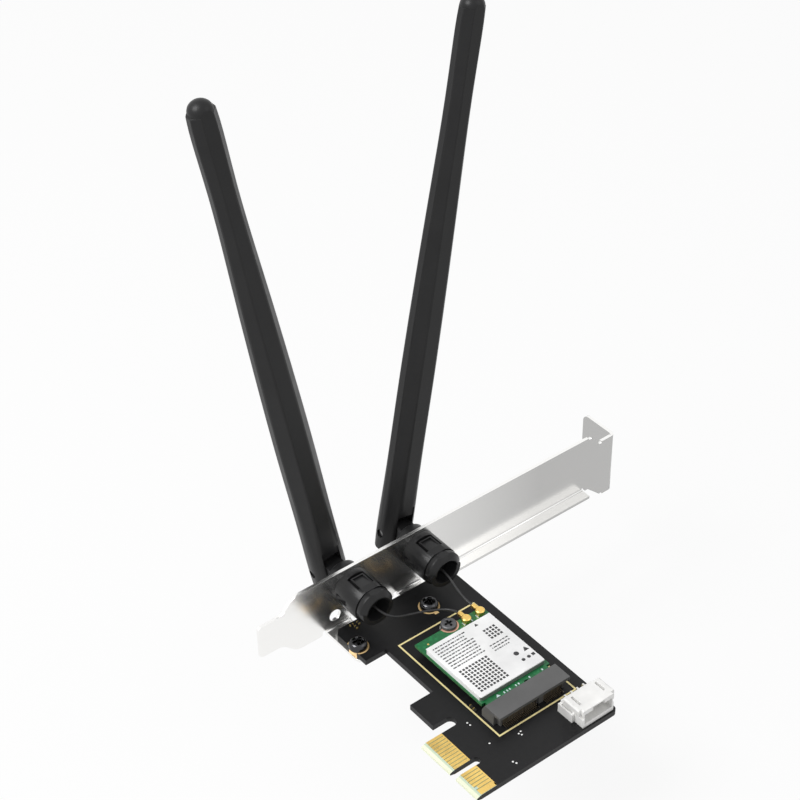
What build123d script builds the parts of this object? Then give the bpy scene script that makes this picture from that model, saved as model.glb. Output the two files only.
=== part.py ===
from build123d import *
import math
import os

# A half-length wireless network card: a folded slot bracket, a small board with an edge connector,
# a plug-in radio module with two aerial leads, a white cable header, and two swivelling aerials.
# Lengths are millimetres. X runs along the bracket from its tongue to its screw tab, Y points out of
# the computer through the bracket, Z is up from the component side of the board. Zero is the tongue's
# tip in X, the bracket's inner face in Y and the board's top face in Z, until the last step, which
# moves everything so that the origin lies at the screw slot's seat.

# How far a cutting shape runs past the face that it opens
PAST = 1.0

# Bracket
SHEET = 0.9
FOLD_INSIDE_R = 0.5
BRACKET_LENGTH = 120.0
BRACKET_WIDTH = 18.42
TONGUE_LENGTH = 6.9
TONGUE_WIDTH = 10.2
TONGUE_RISE = 4.1
TONGUE_CORNER = 0.7
TAPER_LENGTH = 4.3
TAPER_R = 3.5
SHOULDER_TOP = 9.5
SHOULDER_TOP_RUN = 3.8
HEAD_DROP_TOP = 3.5
SHOULDER_LOW = 9.4
SHOULDER_LOW_RUN = 5.0
HEAD_DROP_LOW = 4.6
RELIEF_R = 0.6
TAB_REACH = 12.0
TAB_CORNER_R = 2.0
SLOT_WIDTH = 4.42
SLOT_BELOW_TAB_TOP = 11.0
SLOT_SEAT_Y = 6.35
FOOT_WIDTH = 7.8
FOOT_BEFORE_SCREW = 2.15
FOOT_REACH = 13.9
FOOT_CORNER_R = 1.8
FLANGE_START = 60.4
FLANGE_END = 108.3
FLANGE_REACH = 3.2
PEEP_HOLE_X = 23.3
PEEP_HOLE_RISE = 4.9
PEEP_HOLE_R = 1.75

# Board
BOARD_THICK = 1.6
BOARD_LEFT = 20.9
BOARD_RIGHT = 58.7
BOARD_BACK = -2.6
BOARD_FRONT = -67.4
BOARD_CORNER = 1.4
BOARD_RIGHT_CORNER_R = 1.2
STEP_Y = -15.9
NECK_LEFT = 27.4
HOOK_BACK = -34.6
HOOK_FRONT = -43.5
HOOK_LEFT = 20.2
HOOK_SLOT_WIDTH = 3.1
HOOK_SLOT_END = 24.3
CONTACT_PITCH = 1.0
CONTACT_WIDTH = 0.85
CONTACT_LENGTH = 4.8
CONTACT_INSET = 1.35
SHORT_CONTACT_CUT = 0.75
CONTACTS_BEFORE_KEY = 11
CONTACTS_AFTER_KEY = 7
KEY_WIDTH = 2.1
KEY_DEPTH = 8.3
KEY_STEP = 3.0
FINGER_REACH = 6.1
FINGER_MARGIN = 0.45
BEVEL_LENGTH = 1.5
BEVEL_DEPTH = 0.45
COPPER = 0.06
OUTLINE_LINE = 0.45
OUTLINE_SIDE_GAP = 1.52
OUTLINE_BACK_GAP = 4.99
OUTLINE_FRONT_GAP = 1.4
CHIP_LENGTH = 1.0
CHIP_WIDTH = 0.5
CHIP_HEIGHT = 0.45
# The loose chips' centres, and whether each lies along Y
CHIPS = (
    (25.7, -3.65, False),
    (27.55, -4.1, True),
    (26.15, -5.0, True),
    (31.4, -44.6, True),
    (31.4, -45.9, True),
)

# Screw heads: radius, height, width of the turned-down edge. Driver recesses: span, blade width, depth
SCREW_HEAD = (2.45, 1.9, 1.0)
SCREW_RECESS = (2.8, 0.7, 1.1)
MODULE_SCREW_HEAD = (2.15, 1.0, 0.6)
MODULE_SCREW_RECESS = (2.6, 0.6, 0.6)

# Bracket screws
SCREW_Y = -10.6
SCREW_X = (22.5, 45.5)
SCREW_SHANK_R = 1.4
SCREW_HOLE_R = 1.65
SCREW_THREAD_CLEARANCE = 0.05
SCREW_PROJECTION = 0.9
PAD_R = 2.85
PAD_TAIL_WIDTH = 1.2
PLATING_WIDTH = 3.2

# Radio module and its socket
MODULE_LEFT = 31.92
MODULE_BACK = -21.74
MODULE_WIDTH = 22.0
MODULE_LENGTH = 30.0
MODULE_THICK = 0.8
MODULE_TOP = 3.2
MODULE_NOTCH_R = 1.75
MODULE_TONGUE_INSET = 1.1
MODULE_TONGUE_LENGTH = 4.0
MODULE_KEY_OFFSET = 2.63
MODULE_KEY_WIDTH = 1.2
MODULE_KEY_DEPTH = 3.5
CAN_LEFT_INSET = 0.35
CAN_RIGHT_INSET = 0.9
CAN_BACK_GAP = 3.9
CAN_LENGTH = 22.2
CAN_HEIGHT = 1.3
CAN_CORNER_R = 0.5
LABEL_MARGIN = 0.05
LABEL_THICK = 0.1
STANDOFF_R = 2.3
STANDOFF_BOSS_R = 1.65
MODULE_SHANK_R = 0.85
MODULE_SHANK_LENGTH = 2.6
RING_R = 2.6
SOCKET_SIDE = 0.3
SOCKET_BACK = -49.3
SOCKET_DEPTH = 5.6
SOCKET_HEIGHT = 4.2
SOCKET_ROOF = 0.95
SOCKET_SLOT_DEPTH = 2.6
SOCKET_CLEARANCE = 0.05
SOCKET_FRONT_SETBACK = 1.0
SOCKET_END_WIDTH = 1.1
SOCKET_END_SETBACK = 2.3
SOCKET_ARM_REACH = 1.1
SOCKET_ARM_HEIGHT = 2.1
SOCKET_ARM_WIDTH = 0.25
PIN_PITCH = 0.5
PIN_WIDTH = 0.22
PIN_THICK = 0.2
PIN_FOOT = 1.3
PINS_PER_ROW = 38
KEYED_PINS = 4

# Aerial leads and their plugs
JACK_FROM_RIGHT = (6.6, 2.1)
JACK_FROM_BACK = 1.66
JACK_R = 0.95
JACK_HEIGHT = 0.75
JACK_WALL = 0.3
JACK_FLOOR = 0.3
CAP_R = 1.25
CAP_HEIGHT = 1.3
CAP_ROOF = 0.45
CAP_LIFT = 0.3
CAP_CHAMFER = 0.25
JACK_CLEARANCE = 0.03
NECK_WIDTH = 1.3
NECK_EDGE_R = 0.4
NECK_LENGTH = 1.5
LEAD_D = 0.64

# White cable header
HEADER_LEFT = 47.7
HEADER_WIDTH = 10.0
HEADER_BACK = -58.7
HEADER_FRONT = -66.9
HEADER_HEIGHT = 5.8
HEADER_SIDE_WALL = 0.6
HEADER_FLOOR = 1.3
HEADER_ROOF = 1.4
HEADER_BACK_WALL = 3.1
HEADER_KEY_WIDTH = 3.6
HEADER_KEY_RISE = 1.0
HEADER_KEY_LENGTH = 2.2
RAIL_SLOT_WIDTH = 0.65
RAIL_SLOT_LENGTH = 3.2
RAIL_SLOT_INSET = 1.1
RAIL_SLOT_START = 2.65
SIDE_NOTCH_DEPTH = 0.35
SIDE_NOTCH_LENGTH = 1.6
SIDE_NOTCH_LOW = 2.8
SIDE_NOTCH_HIGH = 3.9
WING_REACH = 0.85
WING_LENGTH = 5.2
WING_HEIGHT = 2.7
WING_GROOVE = 0.4
WING_GROOVE_END = 0.8
SHELF_HEIGHT = 1.4
SHELF_LENGTH = 5.4
SADDLE_LENGTH = 1.9
SADDLE_HEIGHT = 3.4
HEADER_EDGE = 0.35
HEADER_PIN_SIDE = 0.5
HEADER_PIN_PITCH = 2.0
HEADER_PIN_COUNT = 4
HEADER_PIN_FREE = 2.6
HEADER_TAIL_GAP = 0.35

# Aerial mounts
AERIAL_SPACING = 22.0
LEFT_AERIAL_X = 28.7
AERIAL_RISE = 9.6
GLAND_R = 5.35
GLAND_BARREL = 8.7
GLAND_GROOVE = 0.45
GLAND_GROOVE_DEPTH = 0.45
GLAND_COLLAR = 2.45
GLAND_COLLAR_R = 5.2
GLAND_COLLAR_STRAIGHT = 1.25
GLAND_COLLAR_RISE = 0.4
GLAND_LIP_SETBACK = 0.35
GLAND_MOUTH_R = 3.8
GLAND_LOW_R = 4.75
GLAND_BORE_R = 3.5
GLAND_NECK_R = 4.3
LATCH_FLAT = 0.35
LATCH_WIDTH = 3.9
LATCH_LENGTH = 4.7
LATCH_START = 1.8
LATCH_GAP = 0.6
LATCH_CUT = 1.5
LATCH_RIM = 0.4
LATCH_DISH = 0.5
POCKET_LENGTH = 3.8
POCKET_START = 0.9
POCKET_LOW = 0.8
POCKET_HIGH = 1.0
POCKET_DEPTH = 0.9
BARB_HEIGHT = 1.2
BARB_TIP_DEPTH = 0.1
BARB_END_GAP = 0.5
STEM_R = 3.0
STEM_CLEARANCE = 0.05
STEM_END = 6.8
STEM_LIP = 0.6
STEM_LIP_RISE = 0.25
STEM_BORE_R = 0.9
STEM_BORE_DEPTH = 2.6
END_PLAY = 0.15
COLLAR_R = 5.0
COLLAR_FRONT = 4.8
COLLAR_EDGE = 0.6
PIVOT_REACH = 10.3
KNUCKLE_R = 3.5
KNUCKLE_WIDTH = 4.7
FORK_SIDE_GAP = 0.25
FORK_CROTCH = 5.8
FORK_STEP = 8.4
FORK_STEP_DEPTH = 0.45
FORK_END = 4.9
FORK_END_R = 3.95
PIVOT_R = 0.85
PIVOT_CLEARANCE = 0.06
PIVOT_SEAT_CLEARANCE = 0.02
PIVOT_RECESS_R = 1.15
PIVOT_RECESS_DEPTH = 0.5

# Aerials: distance from the pivot, width, depth, corner chamfer and edge radius of each section
AERIAL_REACH = 148.0
AERIAL_SECTIONS = (
    (-FORK_END, 9.6, 7.7, 2.4, 2.0),
    (14.0, 9.6, 7.7, 2.4, 2.0),
    (30.0, 9.6, 7.7, 2.6, 0.8),
    (55.0, 9.5, 7.6, 2.6, 0.8),
    (74.0, 8.9, 7.1, 2.4, 0.8),
    (93.0, 8.0, 6.4, 2.1, 0.7),
    (106.0, 7.2, 6.0, 1.9, 0.7),
    (124.0, 6.6, 5.7, 1.8, 0.6),
    (AERIAL_REACH + PAST, 5.6, 5.2, 1.6, 0.6),
)
TIP_R = 2.95
TIP_DOME = 2.6
AERIAL_BORE_R = 1.5
AERIAL_BORE_END = 128.0
RADIATOR_GAP = 0.1
RADIATOR_SETBACK = 2.0
RADIATOR_COAX_R = 0.7
RADIATOR_SLEEVE = (58.0, 88.0)
RADIATOR_ROD_R = 0.5
LEFT_LEAN = -10.5
RIGHT_LEAN = 9.9

# Values that follow from the sizes above
fold_outside_r = FOLD_INSIDE_R + SHEET
bracket_low = -(BOARD_THICK + SHEET)
bracket_high = bracket_low + BRACKET_WIDTH
head_high = bracket_high - HEAD_DROP_TOP
head_low = bracket_low - HEAD_DROP_LOW
seat_x = BRACKET_LENGTH - SHEET
slot_z = head_high - SLOT_BELOW_TAB_TOP
finger_left = HOOK_LEFT - FINGER_REACH
finger_back = HOOK_FRONT - HOOK_SLOT_WIDTH
first_contact_y = finger_back - FINGER_MARGIN
contact_left = finger_left + CONTACT_INSET
key_y = first_contact_y - (CONTACTS_BEFORE_KEY - 1) * CONTACT_PITCH - KEY_STEP / 2
module_bottom = MODULE_TOP - MODULE_THICK
module_x = MODULE_LEFT + MODULE_WIDTH / 2
module_right = MODULE_LEFT + MODULE_WIDTH
module_front = MODULE_BACK - MODULE_LENGTH
socket_front = SOCKET_BACK - SOCKET_DEPTH
socket_left = MODULE_LEFT - SOCKET_SIDE
socket_right = module_right + SOCKET_SIDE
can_left = MODULE_LEFT + CAN_LEFT_INSET
can_right = module_right - CAN_RIGHT_INSET
outline_left = MODULE_LEFT - OUTLINE_SIDE_GAP
outline_right = module_right + OUTLINE_SIDE_GAP
outline_back = MODULE_BACK + OUTLINE_BACK_GAP
outline_front = socket_front - OUTLINE_FRONT_GAP
left_jack_x = module_right - JACK_FROM_RIGHT[0]
right_jack_x = module_right - JACK_FROM_RIGHT[1]
jack_y = MODULE_BACK - JACK_FROM_BACK
stem_end_y = -STEM_END - STEM_LIP
lead_start_y = stem_end_y + STEM_BORE_DEPTH
plug_end_y = jack_y + CAP_R + NECK_LENGTH
lead_z = MODULE_TOP + JACK_HEIGHT
right_aerial_x = LEFT_AERIAL_X + AERIAL_SPACING
fork_gap = KNUCKLE_WIDTH / 2 + FORK_SIDE_GAP
fork_width = AERIAL_SECTIONS[0][1]
fork_depth = AERIAL_SECTIONS[0][2]


def box(x0, x1, y0, y1, z0, z1):
    """A block between two opposite corners."""
    low = (min(x0, x1), min(y0, y1), min(z0, z1))
    size = (abs(x1 - x0), abs(y1 - y0), abs(z1 - z0))
    return Pos(*low) * Box(*size, align=(Align.MIN, Align.MIN, Align.MIN))


def upright(x, y, z0, z1, radius):
    """A round bar standing along Z."""
    bar = Cylinder(radius, z1 - z0, align=(Align.CENTER, Align.CENTER, Align.MIN))
    return Pos(x, y, z0) * bar


def along_y(x, z, y0, y1, radius, end_radius=None):
    """A round bar or cone along Y, from y0 inwards or outwards to y1."""
    length = abs(y1 - y0)
    turn = Rot(X=-90) if y1 > y0 else Rot(X=90)
    low = (Align.CENTER, Align.CENTER, Align.MIN)
    if end_radius is None:
        bar = Cylinder(radius, length, align=low)
    else:
        bar = Cone(radius, end_radius, length, align=low)
    return Pos(x, y0, z) * turn * bar


def along_x(x0, x1, y, z, radius):
    """A round bar along X."""
    bar = Cylinder(radius, x1 - x0, align=(Align.CENTER, Align.CENTER, Align.MIN))
    return Pos(x0, y, z) * Rot(Y=90) * bar


def plate(points, z0, z1):
    """A flat plate of the given outline between two heights."""
    outline = make_face(Polyline(*points, close=True))
    return Pos(0, 0, z0) * extrude(outline, amount=z1 - z0)


def folded_edge(reach, length):
    """A right-angle fold: the sheet stands on the profile's second axis and the flange runs back."""
    centre = (SHEET - fold_outside_r, fold_outside_r)
    outline = [
        Line((SHEET, fold_outside_r + SHEET), (SHEET, fold_outside_r)),
        CenterArc(centre, fold_outside_r, 0, -90),
        Line((centre[0], 0), (-reach, 0)),
        Line((-reach, 0), (-reach, SHEET)),
        Line((-reach, SHEET), (centre[0], SHEET)),
        CenterArc(centre, FOLD_INSIDE_R, -90, 90),
        Line((0, fold_outside_r), (0, fold_outside_r + SHEET)),
        Line((0, fold_outside_r + SHEET), (SHEET, fold_outside_r + SHEET)),
    ]
    return extrude(make_face(outline), amount=length)


def low_fold(x0, x1, reach):
    """A flange folded inwards along the bracket's lower edge."""
    side = Plane(origin=(x0, 0, bracket_low), x_dir=(0, 1, 0), z_dir=(1, 0, 0))
    return side * folded_edge(reach, x1 - x0)


def bracket():
    """The slot bracket: one sheet with tongue, shifted head, screw tab, two feet and a flange."""
    tongue_low = bracket_low + TONGUE_RISE
    tongue_high = tongue_low + TONGUE_WIDTH
    body_start = TONGUE_LENGTH + TAPER_LENGTH
    head_end = BRACKET_LENGTH - fold_outside_r
    outline = [
        (0, tongue_low + TONGUE_CORNER),
        (TONGUE_CORNER, tongue_low),
        (TONGUE_LENGTH, tongue_low),
        (body_start, bracket_low),
        (BRACKET_LENGTH - SHOULDER_LOW, bracket_low),
        (BRACKET_LENGTH - SHOULDER_LOW + SHOULDER_LOW_RUN, head_low),
        (head_end, head_low),
        (head_end, head_high),
        (BRACKET_LENGTH - SHOULDER_TOP + SHOULDER_TOP_RUN, head_high),
        (BRACKET_LENGTH - SHOULDER_TOP, bracket_high),
        (body_start, bracket_high),
        (TONGUE_LENGTH, tongue_high),
        (TONGUE_CORNER, tongue_high),
        (0, tongue_high - TONGUE_CORNER),
    ]
    face = make_face(Polyline(*[(x, 0, z) for x, z in outline], close=True))
    face = fillet(face.vertices().filter_by_position(Axis.X, TONGUE_LENGTH, body_start), TAPER_R)
    sheet = extrude(face, amount=SHEET, dir=(0, 1, 0))

    fold_zone = bracket_low + fold_outside_r
    relief_gap = 2 * RELIEF_R
    foot_starts = [x - FOOT_BEFORE_SCREW for x in SCREW_X]
    folds = [(start, start + FOOT_WIDTH, FOOT_REACH) for start in foot_starts]
    folds.append((FLANGE_START, FLANGE_END, FLANGE_REACH))
    for x0, x1, reach in folds:
        sheet -= box(x0 - relief_gap, x1 + relief_gap, -PAST, SHEET + PAST, bracket_low - PAST, fold_zone)
    for x0, x1, reach in folds:
        sheet += low_fold(x0, x1, reach)

    tab_plane = Plane(origin=(BRACKET_LENGTH, SHEET, head_high), x_dir=(0, -1, 0), z_dir=(0, 0, -1))
    sheet += tab_plane * folded_edge(TAB_REACH - SHEET, head_high - head_low)
    tab_corners = sheet.edges().filter_by(Axis.X).group_by(Axis.Y)[-1]
    sheet = fillet(tab_corners, TAB_CORNER_R)
    foot_corners = sheet.edges().filter_by(Axis.Z).group_by(Axis.Y)[0]
    sheet = fillet(foot_corners, FOOT_CORNER_R)

    slot_r = SLOT_WIDTH / 2
    slot_start = seat_x - PAST
    slot_end = BRACKET_LENGTH + PAST
    sheet -= along_x(slot_start, slot_end, SLOT_SEAT_Y, slot_z, slot_r)
    sheet -= box(slot_start, slot_end, SLOT_SEAT_Y, TAB_REACH + PAST, slot_z - slot_r, slot_z + slot_r)
    for x, z in (
        (BRACKET_LENGTH - SHOULDER_TOP, bracket_high),
        (BRACKET_LENGTH - SHOULDER_TOP + SHOULDER_TOP_RUN, head_high),
        (BRACKET_LENGTH - SHOULDER_LOW + SHOULDER_LOW_RUN, head_low),
    ):
        sheet -= along_y(x, z, -PAST, SHEET + PAST, RELIEF_R)
    tapped_r = SCREW_SHANK_R + SCREW_THREAD_CLEARANCE
    for x in SCREW_X:
        sheet -= upright(x, SCREW_Y, bracket_low, bracket_low + SHEET, tapped_r)
    for x in (LEFT_AERIAL_X, right_aerial_x):
        sheet -= along_y(x, AERIAL_RISE, -PAST, SHEET + PAST, GLAND_NECK_R)
    sheet -= along_y(PEEP_HOLE_X, bracket_low + PEEP_HOLE_RISE, -PAST, SHEET + PAST, PEEP_HOLE_R)
    return sheet


def circuit_board():
    """The bare board: neck beside the bracket, retaining hook, keyed and bevelled finger tongue."""
    outline = [
        (BOARD_LEFT + BOARD_CORNER, BOARD_BACK),
        (BOARD_RIGHT, BOARD_BACK),
        (BOARD_RIGHT, BOARD_FRONT),
        (finger_left, BOARD_FRONT),
        (finger_left, finger_back),
        (HOOK_SLOT_END, finger_back),
        (HOOK_SLOT_END, HOOK_FRONT),
        (HOOK_LEFT, HOOK_FRONT),
        (HOOK_LEFT, HOOK_BACK),
        (NECK_LEFT, HOOK_BACK),
        (NECK_LEFT, STEP_Y),
        (BOARD_LEFT, STEP_Y),
        (BOARD_LEFT, BOARD_BACK - BOARD_CORNER),
    ]
    board = plate(outline, -BOARD_THICK, 0)
    slot_r = HOOK_SLOT_WIDTH / 2
    board -= upright(HOOK_SLOT_END, HOOK_FRONT - slot_r, -BOARD_THICK, 0, slot_r)
    upright_edges = board.edges().filter_by(Axis.Z)
    corner = upright_edges.sort_by_distance((BOARD_RIGHT, BOARD_FRONT, -BOARD_THICK / 2))[0]
    board = fillet(corner, BOARD_RIGHT_CORNER_R)

    key_end = finger_left + KEY_DEPTH - KEY_WIDTH / 2
    board -= box(finger_left, key_end, key_y - KEY_WIDTH / 2, key_y + KEY_WIDTH / 2, -BOARD_THICK, 0)
    board -= upright(key_end, key_y, -BOARD_THICK, 0, KEY_WIDTH / 2)
    for x in SCREW_X:
        board -= upright(x, SCREW_Y, -BOARD_THICK, 0, SCREW_HOLE_R)

    for top in (True, False):
        z_face = 0 if top else -BOARD_THICK
        z_edge = z_face - BEVEL_DEPTH if top else z_face + BEVEL_DEPTH
        wedge = make_face(Polyline(
            (finger_left, BOARD_FRONT, z_face),
            (finger_left + BEVEL_LENGTH, BOARD_FRONT, z_face),
            (finger_left, BOARD_FRONT, z_edge),
            close=True,
        ))
        board -= extrude(wedge, amount=finger_back - BOARD_FRONT, dir=(0, 1, 0))
    return board


def contact_places():
    """The centre line of each edge contact, from the bracket end to the front."""
    before = [first_contact_y - i * CONTACT_PITCH for i in range(CONTACTS_BEFORE_KEY)]
    after = [before[-1] - KEY_STEP - i * CONTACT_PITCH for i in range(CONTACTS_AFTER_KEY)]
    return before + after


def edge_contacts(top):
    """The gold contacts of one side; the presence contact at one end is shorter than the rest."""
    places = contact_places()
    short = len(places) - 2 if top else 0
    pads = []
    half = CONTACT_WIDTH / 2
    low = 0 if top else -BOARD_THICK - COPPER
    for i, y in enumerate(places):
        start = contact_left + (SHORT_CONTACT_CUT if i == short else 0)
        pads.append(box(start, contact_left + CONTACT_LENGTH, y - half, y + half, low, low + COPPER))
    return Compound(pads)


def outline_trace():
    """The thin gold frame line around the module."""
    frame = box(outline_left, outline_right, outline_front, outline_back, 0, COPPER)
    return frame - box(
        outline_left + OUTLINE_LINE, outline_right - OUTLINE_LINE,
        outline_front + OUTLINE_LINE, outline_back - OUTLINE_LINE, 0, COPPER,
    )


def screw_pads():
    """Gold earth pads under the bracket screws: one runs down the board's edge, one has a short tail."""
    on_board = box(BOARD_LEFT, BOARD_RIGHT, STEP_Y, BOARD_BACK, 0, COPPER)
    left, right = [upright(x, SCREW_Y, 0, COPPER, PAD_R) & on_board for x in SCREW_X]
    half = PLATING_WIDTH / 2
    left += box(BOARD_LEFT, SCREW_X[0], SCREW_Y - half, SCREW_Y + half, 0, COPPER)
    left += box(BOARD_LEFT - COPPER, BOARD_LEFT, SCREW_Y - half, SCREW_Y + half, -BOARD_THICK, COPPER)
    half = PAD_TAIL_WIDTH / 2
    right += box(SCREW_X[1] - half, SCREW_X[1] + half, SCREW_Y, SCREW_Y - PAD_R - half, 0, COPPER)
    return Compound([
        pad - upright(x, SCREW_Y, 0, COPPER, SCREW_HOLE_R) for x, pad in zip(SCREW_X, (left, right))
    ])


def pan_head_screw(x, y, seat, shank_end, head, recess, shank_r):
    """A pan-head screw with a cross recess, standing on its seat, its shank going down."""
    head_r, head_h, edge = head
    span, blade, depth = recess
    profile = make_face(Polyline(
        (0, 0),
        (head_r, 0),
        (head_r, head_h - edge),
        (head_r - edge / 3, head_h - edge / 3),
        (head_r - edge, head_h),
        (0, head_h),
        close=True,
    ))
    screw = revolve(Plane.XZ * profile, axis=Axis.Z)
    screw += upright(0, 0, shank_end - seat, 0, shank_r)
    for turn in (0, 90):
        slot = box(-span / 2, span / 2, -blade / 2, blade / 2, head_h - depth, head_h + PAST)
        screw -= Rot(Z=turn) * slot
    return Pos(x, y, seat) * screw


def bracket_screws():
    """The two screws that hold the board to the bracket's feet."""
    shank_end = bracket_low - SCREW_PROJECTION
    return Compound([
        pan_head_screw(x, SCREW_Y, COPPER, shank_end, SCREW_HEAD, SCREW_RECESS, SCREW_SHANK_R)
        for x in SCREW_X
    ])


def module_board():
    """The radio module's own board: screw notch at the back, narrowed and keyed edge at the front."""
    board = box(MODULE_LEFT, module_right, module_front, MODULE_BACK, module_bottom, MODULE_TOP)
    board -= upright(module_x, MODULE_BACK, module_bottom, MODULE_TOP, MODULE_NOTCH_R)
    shoulder = module_front + MODULE_TONGUE_LENGTH
    for x0, x1 in (
        (MODULE_LEFT, MODULE_LEFT + MODULE_TONGUE_INSET),
        (module_right - MODULE_TONGUE_INSET, module_right),
    ):
        board -= box(x0, x1, module_front, shoulder, module_bottom, MODULE_TOP)
    key_x = module_x + MODULE_KEY_OFFSET
    board -= box(key_x - MODULE_KEY_WIDTH / 2, key_x + MODULE_KEY_WIDTH / 2, module_front,
                 module_front + MODULE_KEY_DEPTH, module_bottom, MODULE_TOP)
    return board


def shield_can():
    """The metal can over the module's chips."""
    back = MODULE_BACK - CAN_BACK_GAP
    can = box(can_left, can_right, back - CAN_LENGTH, back, MODULE_TOP, MODULE_TOP + CAN_HEIGHT)
    return fillet(can.edges().filter_by(Axis.Z), CAN_CORNER_R)


def module_label():
    """The plain label on the can."""
    back = MODULE_BACK - CAN_BACK_GAP
    low = MODULE_TOP + CAN_HEIGHT
    label = box(can_left + LABEL_MARGIN, can_right - LABEL_MARGIN, back - CAN_LENGTH + LABEL_MARGIN,
                back - LABEL_MARGIN, low, low + LABEL_THICK)
    return fillet(label.edges().filter_by(Axis.Z), CAN_CORNER_R)


def module_standoff():
    """The soldered stand that carries the module's back edge."""
    stand = upright(module_x, MODULE_BACK, 0, module_bottom, STANDOFF_R)
    stand += upright(module_x, MODULE_BACK, module_bottom, MODULE_TOP, STANDOFF_BOSS_R)
    return stand - upright(module_x, MODULE_BACK, 0, MODULE_TOP, MODULE_SHANK_R + SCREW_THREAD_CLEARANCE)


def module_ring():
    """The copper half ring on the module under its screw."""
    ring = upright(module_x, MODULE_BACK, MODULE_TOP, MODULE_TOP + COPPER, RING_R)
    ring -= upright(module_x, MODULE_BACK, MODULE_TOP, MODULE_TOP + COPPER, MODULE_NOTCH_R)
    return ring & box(MODULE_LEFT, module_right, module_front, MODULE_BACK, MODULE_TOP, MODULE_TOP + COPPER)


def module_screw():
    """The small screw that holds the module down."""
    seat = MODULE_TOP + COPPER
    shank_end = MODULE_TOP - MODULE_SHANK_LENGTH
    return pan_head_screw(module_x, MODULE_BACK, seat, shank_end, MODULE_SCREW_HEAD, MODULE_SCREW_RECESS,
                          MODULE_SHANK_R)


def socket_pin_places():
    """The row of contact places, without those that the key takes."""
    first = module_x - (PINS_PER_ROW - 1) * PIN_PITCH / 2
    key_x = module_x + MODULE_KEY_OFFSET
    places = [first + i * PIN_PITCH for i in range(PINS_PER_ROW)]
    return [x for x in places if abs(x - key_x) > KEYED_PINS * PIN_PITCH / 2]


def module_socket():
    """The module's socket: roof, set-back ends, floor, key rib and two arms beside the module."""
    roof_low = SOCKET_HEIGHT - SOCKET_ROOF
    body_front = socket_front + SOCKET_FRONT_SETBACK
    body = box(socket_left, socket_right, body_front, SOCKET_BACK, 0, SOCKET_HEIGHT)
    body += box(socket_left, socket_right, socket_front, body_front, roof_low, SOCKET_HEIGHT)
    slot_half = MODULE_WIDTH / 2 - MODULE_TONGUE_INSET + SOCKET_CLEARANCE
    body -= box(module_x - slot_half, module_x + slot_half, SOCKET_BACK - SOCKET_SLOT_DEPTH, SOCKET_BACK,
                module_bottom - SOCKET_CLEARANCE, MODULE_TOP + SOCKET_CLEARANCE)
    places = socket_pin_places()
    row_left = places[0] - PIN_PITCH
    row_right = places[-1] + PIN_PITCH
    body -= box(row_left, row_right, body_front, body_front + PIN_THICK, 0, roof_low)
    key_x = module_x + MODULE_KEY_OFFSET
    rib_half = (KEYED_PINS - 1) * PIN_PITCH / 2
    rib_front = body_front - PIN_THICK
    body += box(key_x - rib_half, key_x + rib_half, rib_front, body_front + PIN_THICK, 0, roof_low)
    end_front = socket_front + SOCKET_END_SETBACK
    body -= box(socket_left, socket_left + SOCKET_END_WIDTH, body_front, end_front, 0, roof_low)
    body -= box(socket_right - SOCKET_END_WIDTH, socket_right, body_front, end_front, 0, roof_low)
    for x in (socket_left, socket_right - SOCKET_ARM_WIDTH):
        arm = make_face(Polyline(
            (x, SOCKET_BACK, 0),
            (x, SOCKET_BACK + SOCKET_ARM_REACH, 0),
            (x, SOCKET_BACK + SOCKET_ARM_REACH, SOCKET_ARM_HEIGHT),
            (x, SOCKET_BACK, SOCKET_HEIGHT),
            close=True,
        ))
        body += extrude(arm, amount=SOCKET_ARM_WIDTH, dir=(1, 0, 0))
    return body


def socket_contacts():
    """The socket's bent contacts: an upright leg in the front wall and a foot on the board."""
    front_wall = socket_front + SOCKET_FRONT_SETBACK
    roof_low = SOCKET_HEIGHT - SOCKET_ROOF
    pins = []
    for x in socket_pin_places():
        leg = box(x - PIN_WIDTH / 2, x + PIN_WIDTH / 2, front_wall, front_wall + PIN_THICK, 0, roof_low)
        foot = box(x - PIN_WIDTH / 2, x + PIN_WIDTH / 2, front_wall - PIN_FOOT, front_wall, 0, PIN_THICK)
        pins.append(leg + foot)
    return Compound(pins)


def coax_jacks():
    """The module's two aerial jacks."""
    jacks = []
    top = MODULE_TOP + JACK_HEIGHT
    for x in (left_jack_x, right_jack_x):
        jack = upright(x, jack_y, MODULE_TOP, top, JACK_R)
        jacks.append(jack - upright(x, jack_y, MODULE_TOP + JACK_FLOOR, top, JACK_R - JACK_WALL))
    return Compound(jacks)


def coax_plug(x):
    """A snap-on cap over its jack, with the crimped neck that holds the lead."""
    low = MODULE_TOP + CAP_LIFT
    high = low + CAP_HEIGHT
    half = NECK_WIDTH / 2
    neck = box(x - half, x + half, jack_y, plug_end_y, lead_z - half, lead_z + half)
    neck = fillet(neck.edges().filter_by(Axis.Y), NECK_EDGE_R)
    cap = upright(x, jack_y, low, high, CAP_R)
    cap = chamfer(cap.edges().group_by(Axis.Z)[-1], CAP_CHAMFER)
    plug = cap + neck
    return plug - upright(x, jack_y, MODULE_TOP, high - CAP_ROOF, JACK_R + JACK_CLEARANCE)


def lead(points):
    """A thin lead along straight runs joined by arcs as large as the runs allow."""
    vectors = [Vector(*p) for p in points]
    radii = []
    for a, b, c in zip(vectors, vectors[1:], vectors[2:]):
        shorter = min((b - a).length, (c - b).length)
        half_turn = math.radians((b - a).get_angle(c - b)) / 2
        radii.append(0.45 * shorter / math.tan(half_turn))
    path = FilletPolyline(*points, radius=radii)
    print("lead length", round(path.length, 1), "bend radii", [round(r, 1) for r in radii])
    start = Plane(origin=path @ 0, z_dir=path % 0)
    tube = sweep(start * Circle(LEAD_D / 2), path=path)
    print("lead volume", round(tube.volume, 2), "section times length",
          round(math.pi * LEAD_D ** 2 / 4 * path.length, 2))
    return tube


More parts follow.
